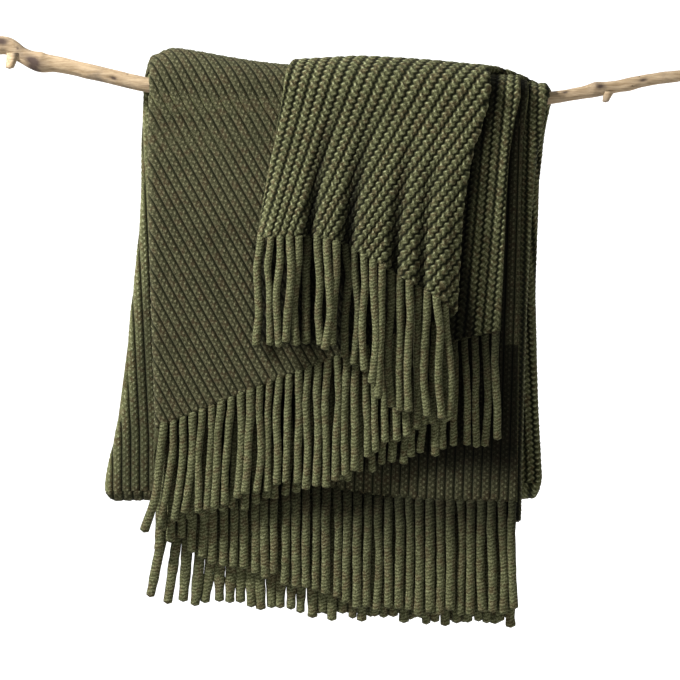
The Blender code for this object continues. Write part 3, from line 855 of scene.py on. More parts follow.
class NodeKit:
    """Short calls for building one shader tree."""

    def __init__(self, tree: bpy.types.NodeTree) -> None:
        """Keep the tree that the nodes go into."""
        self.tree = tree

    def add(self, kind: str, **values: object) -> bpy.types.Node:
        """Add a node and set its properties and inputs.

        Args:
            kind: Blender's name of the node type.
            values: Properties by name, or inputs by name with _ for a space.

        Returns:
            The node.
        """
        node = self.tree.nodes.new(kind)
        for key, value in values.items():
            if hasattr(node, key):
                setattr(node, key, value)
            else:
                node.inputs[key.replace("_", " ")].default_value = value
        return node

    def link(self, source: bpy.types.NodeSocket, target: bpy.types.NodeSocket) -> None:
        """Join an output to an input."""
        self.tree.links.new(source, target)

    def math(self, operation: str, first: object, second: object = 0.0) -> bpy.types.NodeSocket:
        """Arithmetic on sockets or numbers.

        Args:
            operation: Blender's name of the operation.
            first: Socket or number.
            second: Socket or number.

        Returns:
            The result's socket.
        """
        node = self.tree.nodes.new("ShaderNodeMath")
        node.operation = operation
        for i, value in enumerate((first, second)):
            if isinstance(value, bpy.types.NodeSocket):
                self.link(value, node.inputs[i])
            else:
                node.inputs[i].default_value = value
        return node.outputs[0]

    def blend(self, share: object, first: object, second: object) -> bpy.types.NodeSocket:
        """Mix two colours by a share.

        Args:
            share: Socket or number from 0 to 1.
            first: Colour or socket at 0.
            second: Colour or socket at 1.

        Returns:
            The mixed colour's socket.
        """
        node = self.tree.nodes.new("ShaderNodeMix")
        node.data_type = "RGBA"
        for socket, value in ((node.inputs[0], share), (node.inputs[6], first),
                              (node.inputs[7], second)):
            if isinstance(value, bpy.types.NodeSocket):
                self.link(value, socket)
            else:
                socket.default_value = value
        return node.outputs[2]

    def wave(self, source: bpy.types.NodeSocket) -> bpy.types.NodeSocket:
        """Round wave from 0 to 1 that peaks at whole numbers."""
        turned = self.math("COSINE", self.math("MULTIPLY", source, 2 * math.pi))
        return self.math("ADD", self.math("MULTIPLY", turned, 0.5), 0.5)

    def noise(self, place: bpy.types.NodeSocket, scale: float, detail: float,
              roughness: float) -> bpy.types.NodeSocket:
        """Smooth noise at a place; scale is in features a metre."""
        node = self.add("ShaderNodeTexNoise", Scale=scale, Detail=detail, Roughness=roughness)
        self.link(place, node.inputs["Vector"])
        return node.outputs[0]

    def ramp(self, source: bpy.types.NodeSocket, low: float, high: float) -> bpy.types.NodeSocket:
        """Stretch a value so that low becomes 0 and high becomes 1, held at both ends."""
        node = self.tree.nodes.new("ShaderNodeMapRange")
        node.clamp = True
        node.inputs["From Min"].default_value = low
        node.inputs["From Max"].default_value = high
        self.link(source, node.inputs["Value"])
        return node.outputs[0]


def effect_group(name: str, inputs: dict[str, object],
                 outputs: dict[str, str]) -> tuple[bpy.types.NodeTree, NodeKit]:
    """Start a shader node group with named sockets.

    Args:
        name: Name of the group.
        inputs: Default of each input; a tuple of four makes a colour.
        outputs: Socket type of each output.

    Returns:
        The group and a kit for its nodes.
    """
    tree = bpy.data.node_groups.new(name, "ShaderNodeTree")
    for key, value in inputs.items():
        kind = "NodeSocketColor" if isinstance(value, tuple) else "NodeSocketFloat"
        socket = tree.interface.new_socket(name=key, in_out="INPUT", socket_type=kind)
        socket.default_value = value
    for key, kind in outputs.items():
        tree.interface.new_socket(name=key, in_out="OUTPUT", socket_type=kind)
    return tree, NodeKit(tree)


class StitchKind(Enum):
    """The stitch patterns that a yarn finish can carry."""

    ROPE = "rope_stitches"
    GROOVE = "groove_stitches"
    RUNG = "rung_stitches"


@dataclass(frozen=True)
class StitchEffect:
    """Masks of one stitch pattern, read from the piece's own knit map.

    Valley is 0 in a groove and 1 on a rib, and paints shade into the grooves; the second mask is 1 on
    the lit top of a stitch, a painted highlight.
    """

    kind: StitchKind

    def group(self) -> bpy.types.NodeTree:
        """Build the node group once and return it."""
        if self.kind.value in bpy.data.node_groups:
            return bpy.data.node_groups[self.kind.value]
        tree, kit = effect_group(self.kind.value, {},
                                 {"Valley": "NodeSocketFloat", "PaintedHighlight": "NodeSocketFloat"})
        if self.kind is StitchKind.RUNG:
            valley, tuft_and_highlight = self.rung(kit)
        else:
            valley, tuft_and_highlight = self.knit(kit)
        end = kit.add("NodeGroupOutput")
        kit.link(valley, end.inputs["Valley"])
        kit.link(tuft_and_highlight, end.inputs["PaintedHighlight"])
        return tree

    def rung(self, kit: NodeKit) -> tuple[bpy.types.NodeSocket, bpy.types.NodeSocket]:
        """Masks of the rungs round a strand."""
        number = kit.add("ShaderNodeAttribute")
        number.attribute_name = "stitch"
        place = kit.add("ShaderNodeTexCoord")
        uneven = kit.noise(place.outputs["Object"], 330.0, 2.0, 0.6)
        shift = kit.math("MULTIPLY", kit.math("SUBTRACT", uneven, 0.5), 1.5)
        wave = kit.wave(kit.math("ADD", number.outputs["Fac"], shift))
        # painted shade in the gaps between rungs, painted highlight on their tops
        valley = kit.math("ADD", kit.math("MULTIPLY", kit.ramp(wave, 0.0, 0.5), 0.40), 0.60)
        return valley, kit.math("MULTIPLY", kit.ramp(wave, 0.55, 1.0), 0.45)

    def knit(self, kit: NodeKit) -> tuple[bpy.types.NodeSocket, bpy.types.NodeSocket]:
        """Masks of the ribs and stitches of one face."""
        place = kit.add("ShaderNodeUVMap")
        place.uv_map = "knit"
        split = kit.add("ShaderNodeSeparateXYZ")
        kit.link(place.outputs[0], split.inputs[0])
        rib = kit.math("MULTIPLY", split.outputs[0], 100.0)
        stitch = kit.math("MULTIPLY", split.outputs[1], 100.0)
        rope = self.kind is StitchKind.ROPE
        if rope:
            swing = kit.math("SINE", kit.math("MULTIPLY", stitch, 2 * math.pi))
            rib = kit.math("ADD", rib, kit.math("MULTIPLY", swing, 0.09))
        part = kit.math("SUBTRACT", kit.math("FRACT", rib), 0.5)
        odd = kit.math("FLOORED_MODULO", kit.math("FLOOR", rib), 2.0)
        phase = kit.math("ADD", stitch, kit.math("MULTIPLY", odd, 0.5))
        side = kit.math("SUBTRACT", 0.5, kit.math("ABSOLUTE", part))
        if rope:
            # painted shade in the grooves and between the beads, painted highlights on the beads, the
            # left row of beads brighter than the right
            later = kit.math("MULTIPLY", kit.ramp(part, -0.10, 0.10), 0.5)
            tilted = kit.math("ADD", phase, kit.math("MULTIPLY", part, -0.45))
            wave = kit.wave(kit.math("ADD", tilted, later))
            gap = kit.math("ADD", kit.math("MULTIPLY", kit.ramp(wave, 0.0, 0.45), 0.55), 0.45)
            valley = kit.math("MULTIPLY", kit.ramp(side, 0.07, 0.23), gap)
            left = kit.ramp(kit.math("ABSOLUTE", kit.math("ADD", part, 0.22)), 0.19, 0.03)
            right = kit.ramp(kit.math("ABSOLUTE", kit.math("SUBTRACT", part, 0.20)), 0.17, 0.03)
            rows = kit.math("MAXIMUM", left, kit.math("MULTIPLY", right, 0.6))
            return valley, kit.math("MULTIPLY", kit.ramp(wave, 0.55, 1.0), rows)
        # painted shade in the fine grooves, painted highlights on the dots and on a thin line beside
        # each groove
        valley = kit.ramp(side, 0.02, 0.16)
        first = self.dots(kit, part, 0.16, phase)
        second = self.dots(kit, part, -0.20, kit.math("ADD", phase, 0.5))
        line = kit.ramp(kit.math("ABSOLUTE", kit.math("ADD", part, 0.36)), 0.06, 0.0)
        dots = kit.math("MAXIMUM", first, kit.math("MULTIPLY", second, 0.75))
        return valley, kit.math("MAXIMUM", dots, kit.math("MULTIPLY", line, 0.6))

    def dots(self, kit: NodeKit, part: bpy.types.NodeSocket, place: float,
             phase: bpy.types.NodeSocket) -> bpy.types.NodeSocket:
        """Mask of one row of dots along a band.

        Args:
            kit: Kit of the group.
            part: Place across the band, -0.5 to 0.5.
            place: Where the row lies across the band.
            phase: Stitch number.

        Returns:
            The mask's socket.
        """
        row = kit.ramp(kit.math("ABSOLUTE", kit.math("SUBTRACT", part, place)), 0.17, 0.03)
        return kit.math("MULTIPLY", row, kit.ramp(kit.wave(phase), 0.35, 0.95))


@dataclass(frozen=True)
class YarnEffect:
    """Heather of a chenille yarn: pile, lighter and darker tufts, and brown flecks, with painted
    shade in the grooves and from neighbouring folds, and painted highlights on the stitch tops.
    """

    name: str = "heather_yarn"

    def group(self) -> bpy.types.NodeTree:
        """Build the node group once and return it."""
        if self.name in bpy.data.node_groups:
            return bpy.data.node_groups[self.name]
        tree, kit = effect_group(
            self.name,
            {"Deep": (0.02, 0.022, 0.01, 1.0), "Olive": (0.08, 0.09, 0.04, 1.0),
             "Light": (0.2, 0.21, 0.12, 1.0), "Brown": (0.07, 0.045, 0.025, 1.0),
             "Valley": 1.0, "PaintedHighlight": 0.0, "Hollow": 0.0},
            {"Color": "NodeSocketColor", "Pile": "NodeSocketFloat"})
        start = kit.add("NodeGroupInput")
        end = kit.add("NodeGroupOutput")
        place = kit.add("ShaderNodeTexCoord")
        tuft_and_highlight = kit.noise(place.outputs["Object"], 760.0, 2.0, 0.6)
        fleck = kit.noise(place.outputs["Object"], 105.0, 2.5, 0.6)
        cloud = kit.noise(place.outputs["Object"], 24.0, 1.0, 0.5)
        pile = kit.noise(place.outputs["Object"], 1700.0, 2.0, 0.7)
        base = kit.blend(kit.ramp(tuft_and_highlight, 0.30, 0.55), self.shade(kit, start, 0.45),
                         start.outputs["Olive"])
        brown = kit.math("MULTIPLY", kit.ramp(fleck, 0.50, 0.60), 0.8)
        base = kit.blend(brown, base, start.outputs["Brown"])
        grain = kit.math("MULTIPLY", kit.ramp(tuft_and_highlight, 0.50, 0.68), 0.30)
        speck = kit.math("MULTIPLY", kit.ramp(tuft_and_highlight, 0.35, 0.62), 0.75)
        # painted highlight on the lit tops of the stitches
        top = kit.math("MULTIPLY", start.outputs["PaintedHighlight"], kit.math("ADD", speck, 0.12))
        base = kit.blend(kit.math("MAXIMUM", grain, top), base, start.outputs["Light"])
        base = kit.blend(kit.math("MULTIPLY", kit.ramp(cloud, 0.5, 0.72), 0.18), base,
                         start.outputs["Deep"])
        # painted shade: the grooves go to the deep tone
        base = kit.blend(start.outputs["Valley"], start.outputs["Deep"], base)
        # painted shade from neighbouring folds, towards black
        shade = kit.math("MULTIPLY", start.outputs["Hollow"], 0.93)
        base = kit.blend(shade, base, (0.0, 0.0, 0.0, 1.0))
        kit.link(base, end.inputs["Color"])
        both = kit.math("ADD", kit.math("MULTIPLY", tuft_and_highlight, 0.45), kit.math("MULTIPLY", pile, 0.3))
        form = kit.math("ADD", kit.math("MULTIPLY", start.outputs["Valley"], 0.5),
                        kit.math("MULTIPLY", start.outputs["PaintedHighlight"], 0.5))
        kit.link(kit.math("ADD", both, form), end.inputs["Pile"])
        return tree

    def shade(self, kit: NodeKit, start: bpy.types.Node, share: float) -> bpy.types.NodeSocket:
        """The olive with a share of the deep tone."""
        return kit.blend(share, start.outputs["Olive"], start.outputs["Deep"])


@dataclass(frozen=True)
class YarnFinish:
    """Finish of the chenille knit or of its strands."""

    name: str
    stitches: StitchKind | None
    deep: tuple[float, float, float, float] = (0.007, 0.008, 0.003, 1.0)
    olive: tuple[float, float, float, float] = (0.084, 0.086, 0.036, 1.0)
    light: tuple[float, float, float, float] = (0.40, 0.41, 0.23, 1.0)
    brown: tuple[float, float, float, float] = (0.070, 0.050, 0.022, 1.0)

    def material(self) -> bpy.types.Material:
        """Make the material."""
        material = bpy.data.materials.new(self.name)
        material.use_nodes = True
        kit = NodeKit(material.node_tree)
        shader = material.node_tree.nodes["Principled BSDF"]
        shader.inputs["Roughness"].default_value = 0.92
        shader.inputs["Specular IOR Level"].default_value = 0.08
        shader.inputs["Sheen Weight"].default_value = 0.07
        shader.inputs["Sheen Roughness"].default_value = 0.5
        shader.inputs["Sheen Tint"].default_value = (0.62, 0.62, 0.40, 1.0)
        yarn = kit.add("ShaderNodeGroup")
        yarn.node_tree = YarnEffect().group()
        for key, value in (("Deep", self.deep), ("Olive", self.olive), ("Light", self.light),
                           ("Brown", self.brown)):
            yarn.inputs[key].default_value = value
        if self.stitches is not None:
            knit = kit.add("ShaderNodeGroup")
            knit.node_tree = StitchEffect(self.stitches).group()
            kit.link(knit.outputs["Valley"], yarn.inputs["Valley"])
            kit.link(knit.outputs["PaintedHighlight"], yarn.inputs["PaintedHighlight"])
        # painted shade stored on the piece darkens its colour
        depth = kit.add("ShaderNodeAttribute")
        depth.attribute_name = "painted_shade"
        kit.link(depth.outputs["Fac"], yarn.inputs["Hollow"])
        kit.link(yarn.outputs["Color"], shader.inputs["Base Color"])
        bump = kit.add("ShaderNodeBump", Strength=0.8, Distance=0.0011)
        kit.link(yarn.outputs["Pile"], bump.inputs["Height"])
        if self.stitches is None:
            place = kit.add("ShaderNodeTexCoord")
            band = kit.add("ShaderNodeTexWave", Scale=17.5, Distortion=0.6)
            band.bands_direction = "X"
            kit.link(place.outputs["Object"], band.inputs["Vector"])
            ribs = kit.add("ShaderNodeBump", Strength=0.8, Distance=0.002)
            kit.link(band.outputs["Fac"], ribs.inputs["Height"])
            kit.link(ribs.outputs[0], bump.inputs["Normal"])
        kit.link(bump.outputs[0], shader.inputs["Normal"])
        return material


@dataclass(frozen=True)
class WoodFinish:
    """Dry bare wood of the branch: pale tan with long grain and greyish stains."""

    name: str = "dry_branch_wood"
    pale: tuple[float, float, float, float] = (0.44, 0.33, 0.208, 1.0)
    tan: tuple[float, float, float, float] = (0.265, 0.185, 0.10, 1.0)
    grey: tuple[float, float, float, float] = (0.16, 0.125, 0.09, 1.0)
    scar: tuple[float, float, float, float] = (0.055, 0.035, 0.026, 1.0)

    def material(self) -> bpy.types.Material:
        """Make the material."""
        material = bpy.data.materials.new(self.name)
        material.use_nodes = True
        kit = NodeKit(material.node_tree)
        shader = material.node_tree.nodes["Principled BSDF"]
        shader.inputs["Roughness"].default_value = 0.78
        shader.inputs["Specular IOR Level"].default_value = 0.28
        place = kit.add("ShaderNodeTexCoord")
        stretch = kit.add("ShaderNodeMapping")
        stretch.inputs["Scale"].default_value = (0.10, 1.0, 1.0)
        kit.link(place.outputs["Object"], stretch.inputs["Vector"])
        grain = kit.add("ShaderNodeTexNoise", Scale=620.0, Detail=5.0, Roughness=0.62)
        kit.link(stretch.outputs[0], grain.inputs["Vector"])
        stain = kit.add("ShaderNodeTexNoise", Scale=38.0, Detail=4.0, Roughness=0.6)
        kit.link(place.outputs["Object"], stain.inputs["Vector"])
        spots = kit.add("ShaderNodeTexNoise", Scale=150.0, Detail=2.0, Roughness=0.5)
        kit.link(place.outputs["Object"], spots.inputs["Vector"])
        colour = kit.blend(kit.ramp(grain.outputs[0], 0.36, 0.62), self.tan, self.pale)
        colour = kit.blend(kit.math("MULTIPLY", kit.ramp(stain.outputs[0], 0.50, 0.66), 0.75),
                           colour, self.grey)
        colour = kit.blend(kit.math("MULTIPLY", kit.ramp(spots.outputs[0], 0.68, 0.74), 0.8),
                           colour, self.scar)
        wear = kit.add("ShaderNodeAttribute")
        wear.attribute_name = "scar"
        colour = kit.blend(wear.outputs["Fac"], colour, self.scar)
        kit.link(colour, shader.inputs["Base Color"])
        bump = kit.add("ShaderNodeBump", Strength=0.55, Distance=0.0008)
        kit.link(grain.outputs[0], bump.inputs["Height"])
        kit.link(bump.outputs[0], shader.inputs["Normal"])
        return material


@dataclass
class KnitSheet:
    """The throw's one sheet: a thin closed core with its visible faces raised on it."""

    core_thickness: float = 2.0
    patches: tuple[FacePatch, ...] = field(default_factory=lambda: SHEET_PATCHES)

    def core_rows(self) -> list[tuple[str, Part, float]]:
        """Stations along the whole sheet, from the outer hem to the inner hem."""
        front = [(Part.FRONT, p) for p in (0.0, 0.04, 0.1, 0.18, 0.28, 0.42, 0.58, 0.76, 0.9)]
        arc = [(Part.ARC, math.pi * k / 12) for k in range(13)]
        back = [(Part.BACK, p) for p in (0.15, 0.35, 0.6, 0.85)]
        bottom = [(Part.BOTTOM, math.pi * k / 10) for k in range(11)]
        rows = [("outer", *row) for row in front + arc + back + bottom]
        return rows + [("inner", *row) for row in (front + arc + back)[::-1]]

    def core_points(self) -> np.ndarray:
        """Middle surface of the whole sheet, rows by columns by 3."""
        bends = np.linspace(0.0, math.pi, 9)[1:-1]
        rows = []
        for half, part, place in self.core_rows():
            layers = [FOLDS.point(f"{half}_{third}", part, np.float64(place),
                                  np.linspace(0.0, 1.0, count + 1))
                      for third, count in ((1, 72), (2, 30), (3, 30))]
            line = [layers[0]]
            for k, side in ((0, 1.0), (1, -1.0)):
                start, end = layers[k][-1], layers[k + 1][0]
                line += [half_turn(start, end, side, bends)[0], layers[k + 1]]
            rows.append(np.concatenate(line))
        return np.array(rows)

    def core_shade(self, columns: int) -> np.ndarray:
        """Painted shade of the core, deep in front, where only its rims show between the faces."""
        rows = [0.6 if part is Part.FRONT else 0.0 for _, part, _ in self.core_rows()]
        return np.repeat(np.array(rows)[:, None], columns, axis=1)

    def build(self) -> list[bpy.types.Object]:
        """Build the core and its faces.

        Returns:
            The pieces, the core first.
        """
        points = self.core_points()
        core = grid_object("throw_core", points, None, self.core_shade(points.shape[1]))
        thick = core.modifiers.new("thickness", "SOLIDIFY")
        thick.thickness = self.core_thickness * MM
        thick.offset = 0.0
        thick.use_even_offset = True
        core.data.materials.append(YarnFinish("knit_core", None).material())
        rope = YarnFinish("rope_knit", StitchKind.ROPE).material()
        # Lit and shaded copies of one yarn: the grooved faces that look away from the branch take a
        # much darker olive as painted shade, those towards the branch a lighter olive as painted
        # light.
        grooved_shaded = YarnFinish("grooved_knit_shaded", StitchKind.GROOVE, olive=(0.036, 0.035, 0.016, 1.0),
                             light=(0.215, 0.21, 0.115, 1.0),
                             brown=(0.038, 0.027, 0.013, 1.0)).material()
        rear_lit = YarnFinish("rear_knit_lit", StitchKind.GROOVE,
                          olive=(0.098, 0.100, 0.043, 1.0)).material()
        pieces = [core]
        for patch in self.patches:
            piece = patch.build()
            front = grooved_shaded if patch.away else rear_lit
            piece.data.materials.append(rope if patch.face is KnitFace.ROPE else front)
            LOG.info("%s: %d faces", piece.name, len(piece.data.polygons))
            pieces.append(piece)
        return pieces


FLAP_LAY = FannedLay(pitch=8.4, stitch=6.8, lean=0.50, spread=0.32, middle=50.0, half_span=62.0,
                     origin=270.0, base=-170.0, reach=230.0)
PANEL_LAY = RibLay(pitch=8.6, stitch=5.6, lean=-0.577, reach=60.0)
STRIP_LAY = RibLay(pitch=8.9, stitch=6.4, lean=0.095, origin=533.0)
INNER_LAY = RibLay(pitch=9.0, stitch=5.8, lean=0.03, origin=540.0)
BACK_LAY = RibLay(pitch=9.0, stitch=5.8, lean=0.05, origin=140.0)

SHEET_PATCHES = (
    FacePatch("throw_flap_front", "outer_1", True,
              (Stretch(Part.FRONT, 0.0, 1.0), Stretch(Part.ARC, 0.0, math.pi)),
              (0.0, 1.0), KnitFace.ROPE, FLAP_LAY, 1.2, "turn_12", height=2.3),
    FacePatch("throw_flap_back", "outer_1", True,
              (Stretch(Part.BACK, 0.0, 1.0), Stretch(Part.BOTTOM, 0.0, math.pi)),
              (0.0, 1.0), KnitFace.ROPE, FLAP_LAY, 1.9, "turn_12", height=2.1),
    FacePatch("throw_panel_front", "outer_2", True,
              (Stretch(Part.FRONT, 0.0, 1.0), Stretch(Part.ARC, 0.0, math.pi)),
              (0.0, 1.0), KnitFace.GROOVE, PANEL_LAY, 1.45, "turn_23", height=1.6),
    FacePatch("throw_panel_back", "outer_2", True,
              (Stretch(Part.BACK, 0.0, 1.0), Stretch(Part.BOTTOM, 0.0, math.pi)),
              (0.48, 1.0), KnitFace.GROOVE, PANEL_LAY, 1.9, "turn_23", height=1.5),
    FacePatch("throw_strip_front", "outer_3", True,
              (Stretch(Part.FRONT, 0.0, 1.0), Stretch(Part.ARC, 0.0, math.pi)),
              (0.80, 1.0), KnitFace.ROPE, STRIP_LAY, 1.35, height=2.0),
    FacePatch("throw_inner_front", "inner_3", True,
              (Stretch(Part.FRONT, 0.0, 0.48),),
              (0.0, 1.0), KnitFace.GROOVE, INNER_LAY, 1.6, height=1.6),
    FacePatch("throw_inner_strip", "inner_3", True,
              (Stretch(Part.FRONT, 0.48, 1.0), Stretch(Part.ARC, 0.0, math.pi)),
              (0.88, 1.0), KnitFace.GROOVE, INNER_LAY, 1.5, height=1.6),
    FacePatch("throw_low_front", "inner_2", True,
              (Stretch(Part.FRONT, 0.0, 0.16),),
              (0.0, 1.0), KnitFace.ROPE, INNER_LAY, 1.6, "turn_12", height=1.9),
    FacePatch("throw_low_strip", "inner_2", True,
              (Stretch(Part.FRONT, 0.16, 1.0), Stretch(Part.ARC, 0.0, math.pi)),
              (0.0, 0.10), KnitFace.ROPE, INNER_LAY, 1.6, "turn_12", height=1.9),
    FacePatch("throw_back_left", "inner_2", False,
              (Stretch(Part.BACK, 0.0, 1.0),),
              (0.80, 1.0), KnitFace.GROOVE, BACK_LAY, 1.6, "turn_23", height=1.6),
    FacePatch("throw_back_right", "inner_1", False,
              (Stretch(Part.BACK, 0.0, 1.0),),
              (0.74, 1.0), KnitFace.ROPE, BACK_LAY, 1.6, "turn_12", height=1.8),
)

FRINGE_ROWS = (
    # tips: x of the root, height of the end, lean to the right
    FringeRow("flap_strands", "fringe_flap", "outer_1", 21, 0.022, 0.968, FLAP_TIPS, sway=3.2),
    FringeRow("panel_strands", "fringe_panel", "outer_2", 30, 0.02, 0.988,
              Curve(((156.0, -483.0, -20.0), (177.0, -484.0, -20.0), (192.0, -477.0, -11.0),
                     (226.0, -466.0, -5.0), (267.0, -450.0, -4.0), (300.0, -441.0, -3.0),
                     (342.0, -444.0, -2.0), (357.0, -432.0, -2.0), (404.0, -397.0, -1.0),
                     (467.0, -376.0, 0.0))), shade=0.22),
    FringeRow("strip_strands", "fringe_strip", "outer_3", 33, 0.014, 0.986,
              Curve(((169.0, -490.0, -6.0), (322.0, -445.0, -2.0), (467.0, -402.0, 0.0),
                     (512.0, -399.0, 1.0))), shade=0.75),
    FringeRow("inner_outer_strands", "fringe_inner_outer", "inner_3", 35, 0.012, 0.986,
              Curve(((169.0, -511.0, -4.0), (193.0, -496.0, -3.0), (219.0, -514.0, -1.0),
                     (253.0, -521.0, 0.0), (282.0, -531.0, 0.0), (323.0, -547.0, -1.0),
                     (373.0, -562.0, -1.0), (459.0, -567.0, 0.0), (527.0, -566.0, 2.0))),
              half_width=4.4, sway=1.3, shade=0.85),
    FringeRow("inner_middle_strands", "fringe_inner_middle", "inner_2", 34, 0.022, 0.967,
              Curve(((159.0, -550.0, -22.0), (182.0, -552.0, -21.0), (192.0, -556.0, -13.0),
                     (204.0, -558.0, -7.0), (230.0, -560.0, -3.0), (266.0, -561.0, -1.0),
                     (312.0, -569.0, -1.0), (405.0, -575.0, 0.0), (478.0, -578.0, 1.0),
                     (535.0, -583.0, 5.0))),
              half_width=4.3, sway=1.3, shade=0.85, crowd=1.1),
    FringeRow("inner_back_strands", "fringe_inner_back", "inner_1", 19, 0.051, 0.944,
              Curve(((320.0, -566.0, -1.0), (412.0, -572.0, 0.0), (530.0, -577.0, 3.0))),
              half_width=4.4, sway=1.3, shade=0.90),
)


@dataclass
class Branch:
    """The bare branch with its knots, stubs and sawn ends."""

    sides: int = 36
    step: float = 2.2
    length: float = 704.0
    bark: float = 0.35
    knots: tuple[tuple[float, float, float, float], ...] = (
        # x, angle from the top towards the front, swell, half width
        (52.0, 0.4, 2.0, 8.0), (8.0, 3.0, 1.6, 9.0), (609.0, 0.3, 1.2, 6.0),
        (640.0, 2.4, 0.7, 6.0), (100.0, 2.6, 0.6, 8.0), (150.0, 1.0, 0.5, 6.0),
        (572.0, 1.6, 0.6, 5.0), (675.0, 0.6, 0.6, 6.0))
    scars: tuple[tuple[float, float, float], ...] = (
        # x, angle, half width
        (46.0, 1.75, 5.5), (46.0, 2.5, 4.5), (14.0, 1.2, 4.0), (612.0, 1.2, 2.5), (126.0, 1.8, 2.0),
        (655.0, 1.4, 2.2), (577.0, 1.0, 2.0))
    stubs: tuple[tuple[float, float, float, float], ...] = (
        # x, length, end size, half width
        (26.0, 13.0, 0.70, 5.8), (621.0, 8.0, 0.62, 4.8))

    def girth(self, grid_x: np.ndarray, grid_a: np.ndarray) -> np.ndarray:
        """Radius with its waves, bark ridges, knots and scars.

        Args:
            grid_x: Places along the branch.
            grid_a: Angles from the top towards the front.

        Returns:
            The radius at each point, in millimetres.
        """
        radius = BRANCH_LINE.at(grid_x, 2)
        wave = drift(grid_x / 23.0, 1.0) * 0.35 + drift(grid_x / 7.0 + 50.0, 2.0) * 0.15
        ridge = np.sin(3.0 * grid_a + drift(grid_x / 60.0, 3.0) * 2.0) * 0.22
        ridge += np.sin(7.0 * grid_a + drift(grid_x / 35.0, 4.0) * 3.0) * self.bark * 0.35
        radius = radius + wave + ridge
        for place, turn, swell, width in self.knots:
            gap = np.angle(np.exp(1j * (grid_a - turn))) * radius
            near = np.exp(-((grid_x - place) ** 2 + 0.5 * gap**2) / width**2)
            radius = radius + swell * near
        for place, turn, width in self.scars:
            gap = np.angle(np.exp(1j * (grid_a - turn))) * radius
            radius = radius - 0.6 * np.exp(-((grid_x - place) ** 2 * 0.35 + gap**2) / width**2)
        return radius

    def build(self) -> bpy.types.Object:
        """Build the branch and its stubs as one piece."""
        x = np.linspace(0.0, self.length, int(self.length / self.step) + 1)
        angle = np.linspace(0.0, 2 * math.pi, self.sides + 1)
        grid_x, grid_a = np.meshgrid(x, angle, indexing="ij")
        radius = self.girth(grid_x, grid_a)
        side_y = -np.sin(grid_a) * radius
        up = np.cos(grid_a) * radius
        tilt = np.arctan(np.gradient(BRANCH_LINE.at(x), x))[:, None]
        tilt[0] = tilt[-1] = 0.0
        points = np.stack((grid_x - up * np.sin(tilt), side_y,
                           BRANCH_LINE.at(grid_x) + up * np.cos(tilt)), -1)
        points[:, -1] = points[:, 0]
        centre = np.stack((x, np.zeros(len(x)), BRANCH_LINE.at(x)), -1)
        caps = []
        for end in (0, -1):
            rim = points[end]
            caps.append([mix(np.broadcast_to(centre[end], rim.shape), rim, share)
                         for share in (0.0, 0.35, 0.7, 0.96)])
        points = np.concatenate((np.array(caps[0]), points, np.array(caps[1][::-1])))
        piece = grid_object("branch_wood", points, None)
        self.attach_stubs(piece)
        values = self.scar_values(piece)
        mark = piece.data.attributes.new("scar", "FLOAT", "POINT")
        mark.data.foreach_set("value", values.astype(np.float32))
        return piece

    def attach_stubs(self, piece: bpy.types.Object) -> None:
        """Close the branch's seam and grow its two twig stubs.

        Args:
            piece: The branch, changed in place.
        """
        bm = bmesh.new()
        bm.from_mesh(piece.data)
        for x, length, end_size, width in self.stubs:
            root = np.array((x, -0.3 * BRANCH_LINE.at(x, 2), BRANCH_LINE.at(x) - 4.0))
            fall = np.linspace(0.0, 1.0, 12)[:, None]
            angle = np.linspace(-math.pi, math.pi, 17)[None, :]
            size = width * mix(1.25, end_size, fall**0.7) * (1.0 + 0.06 * np.sin(3 * angle))
            size = size * np.minimum((1.0 - fall) * 12.0, 1.0)
            points = np.stack((root[0] - 4.0 * fall + size * np.sin(angle),
                               root[1] - 2.0 * fall - size * np.cos(angle),
                               root[2] - (length + 3.0) * fall + 0.0 * angle), -1)
            points[:, -1] = points[:, 0]
            add_grid(bm, points)
        bmesh.ops.remove_doubles(bm, verts=bm.verts[:], dist=0.00001)
        bmesh.ops.recalc_face_normals(bm, faces=bm.faces[:])
        bm.to_mesh(piece.data)
        bm.free()
        piece.data.shade_smooth()

    def scar_values(self, piece: bpy.types.Object) -> np.ndarray:
        """Darkness of the scars at each point of the branch."""
        flat = np.empty(len(piece.data.vertices) * 3, dtype=np.float32)
        piece.data.vertices.foreach_get("co", flat)
        co = flat.reshape(-1, 3) / MM
        axis = BRANCH_LINE.at(co[:, 0])
        angle = np.arctan2(-co[:, 1], co[:, 2] - axis)
        out = np.zeros(len(co))
        for place, turn, width in self.scars:
            gap = np.angle(np.exp(1j * (angle - turn))) * 7.5
            out = np.maximum(out, np.exp(-((co[:, 0] - place) ** 2 * 0.35 + gap**2) / width**2))
        return np.clip(out * 1.3, 0.0, 1.0)


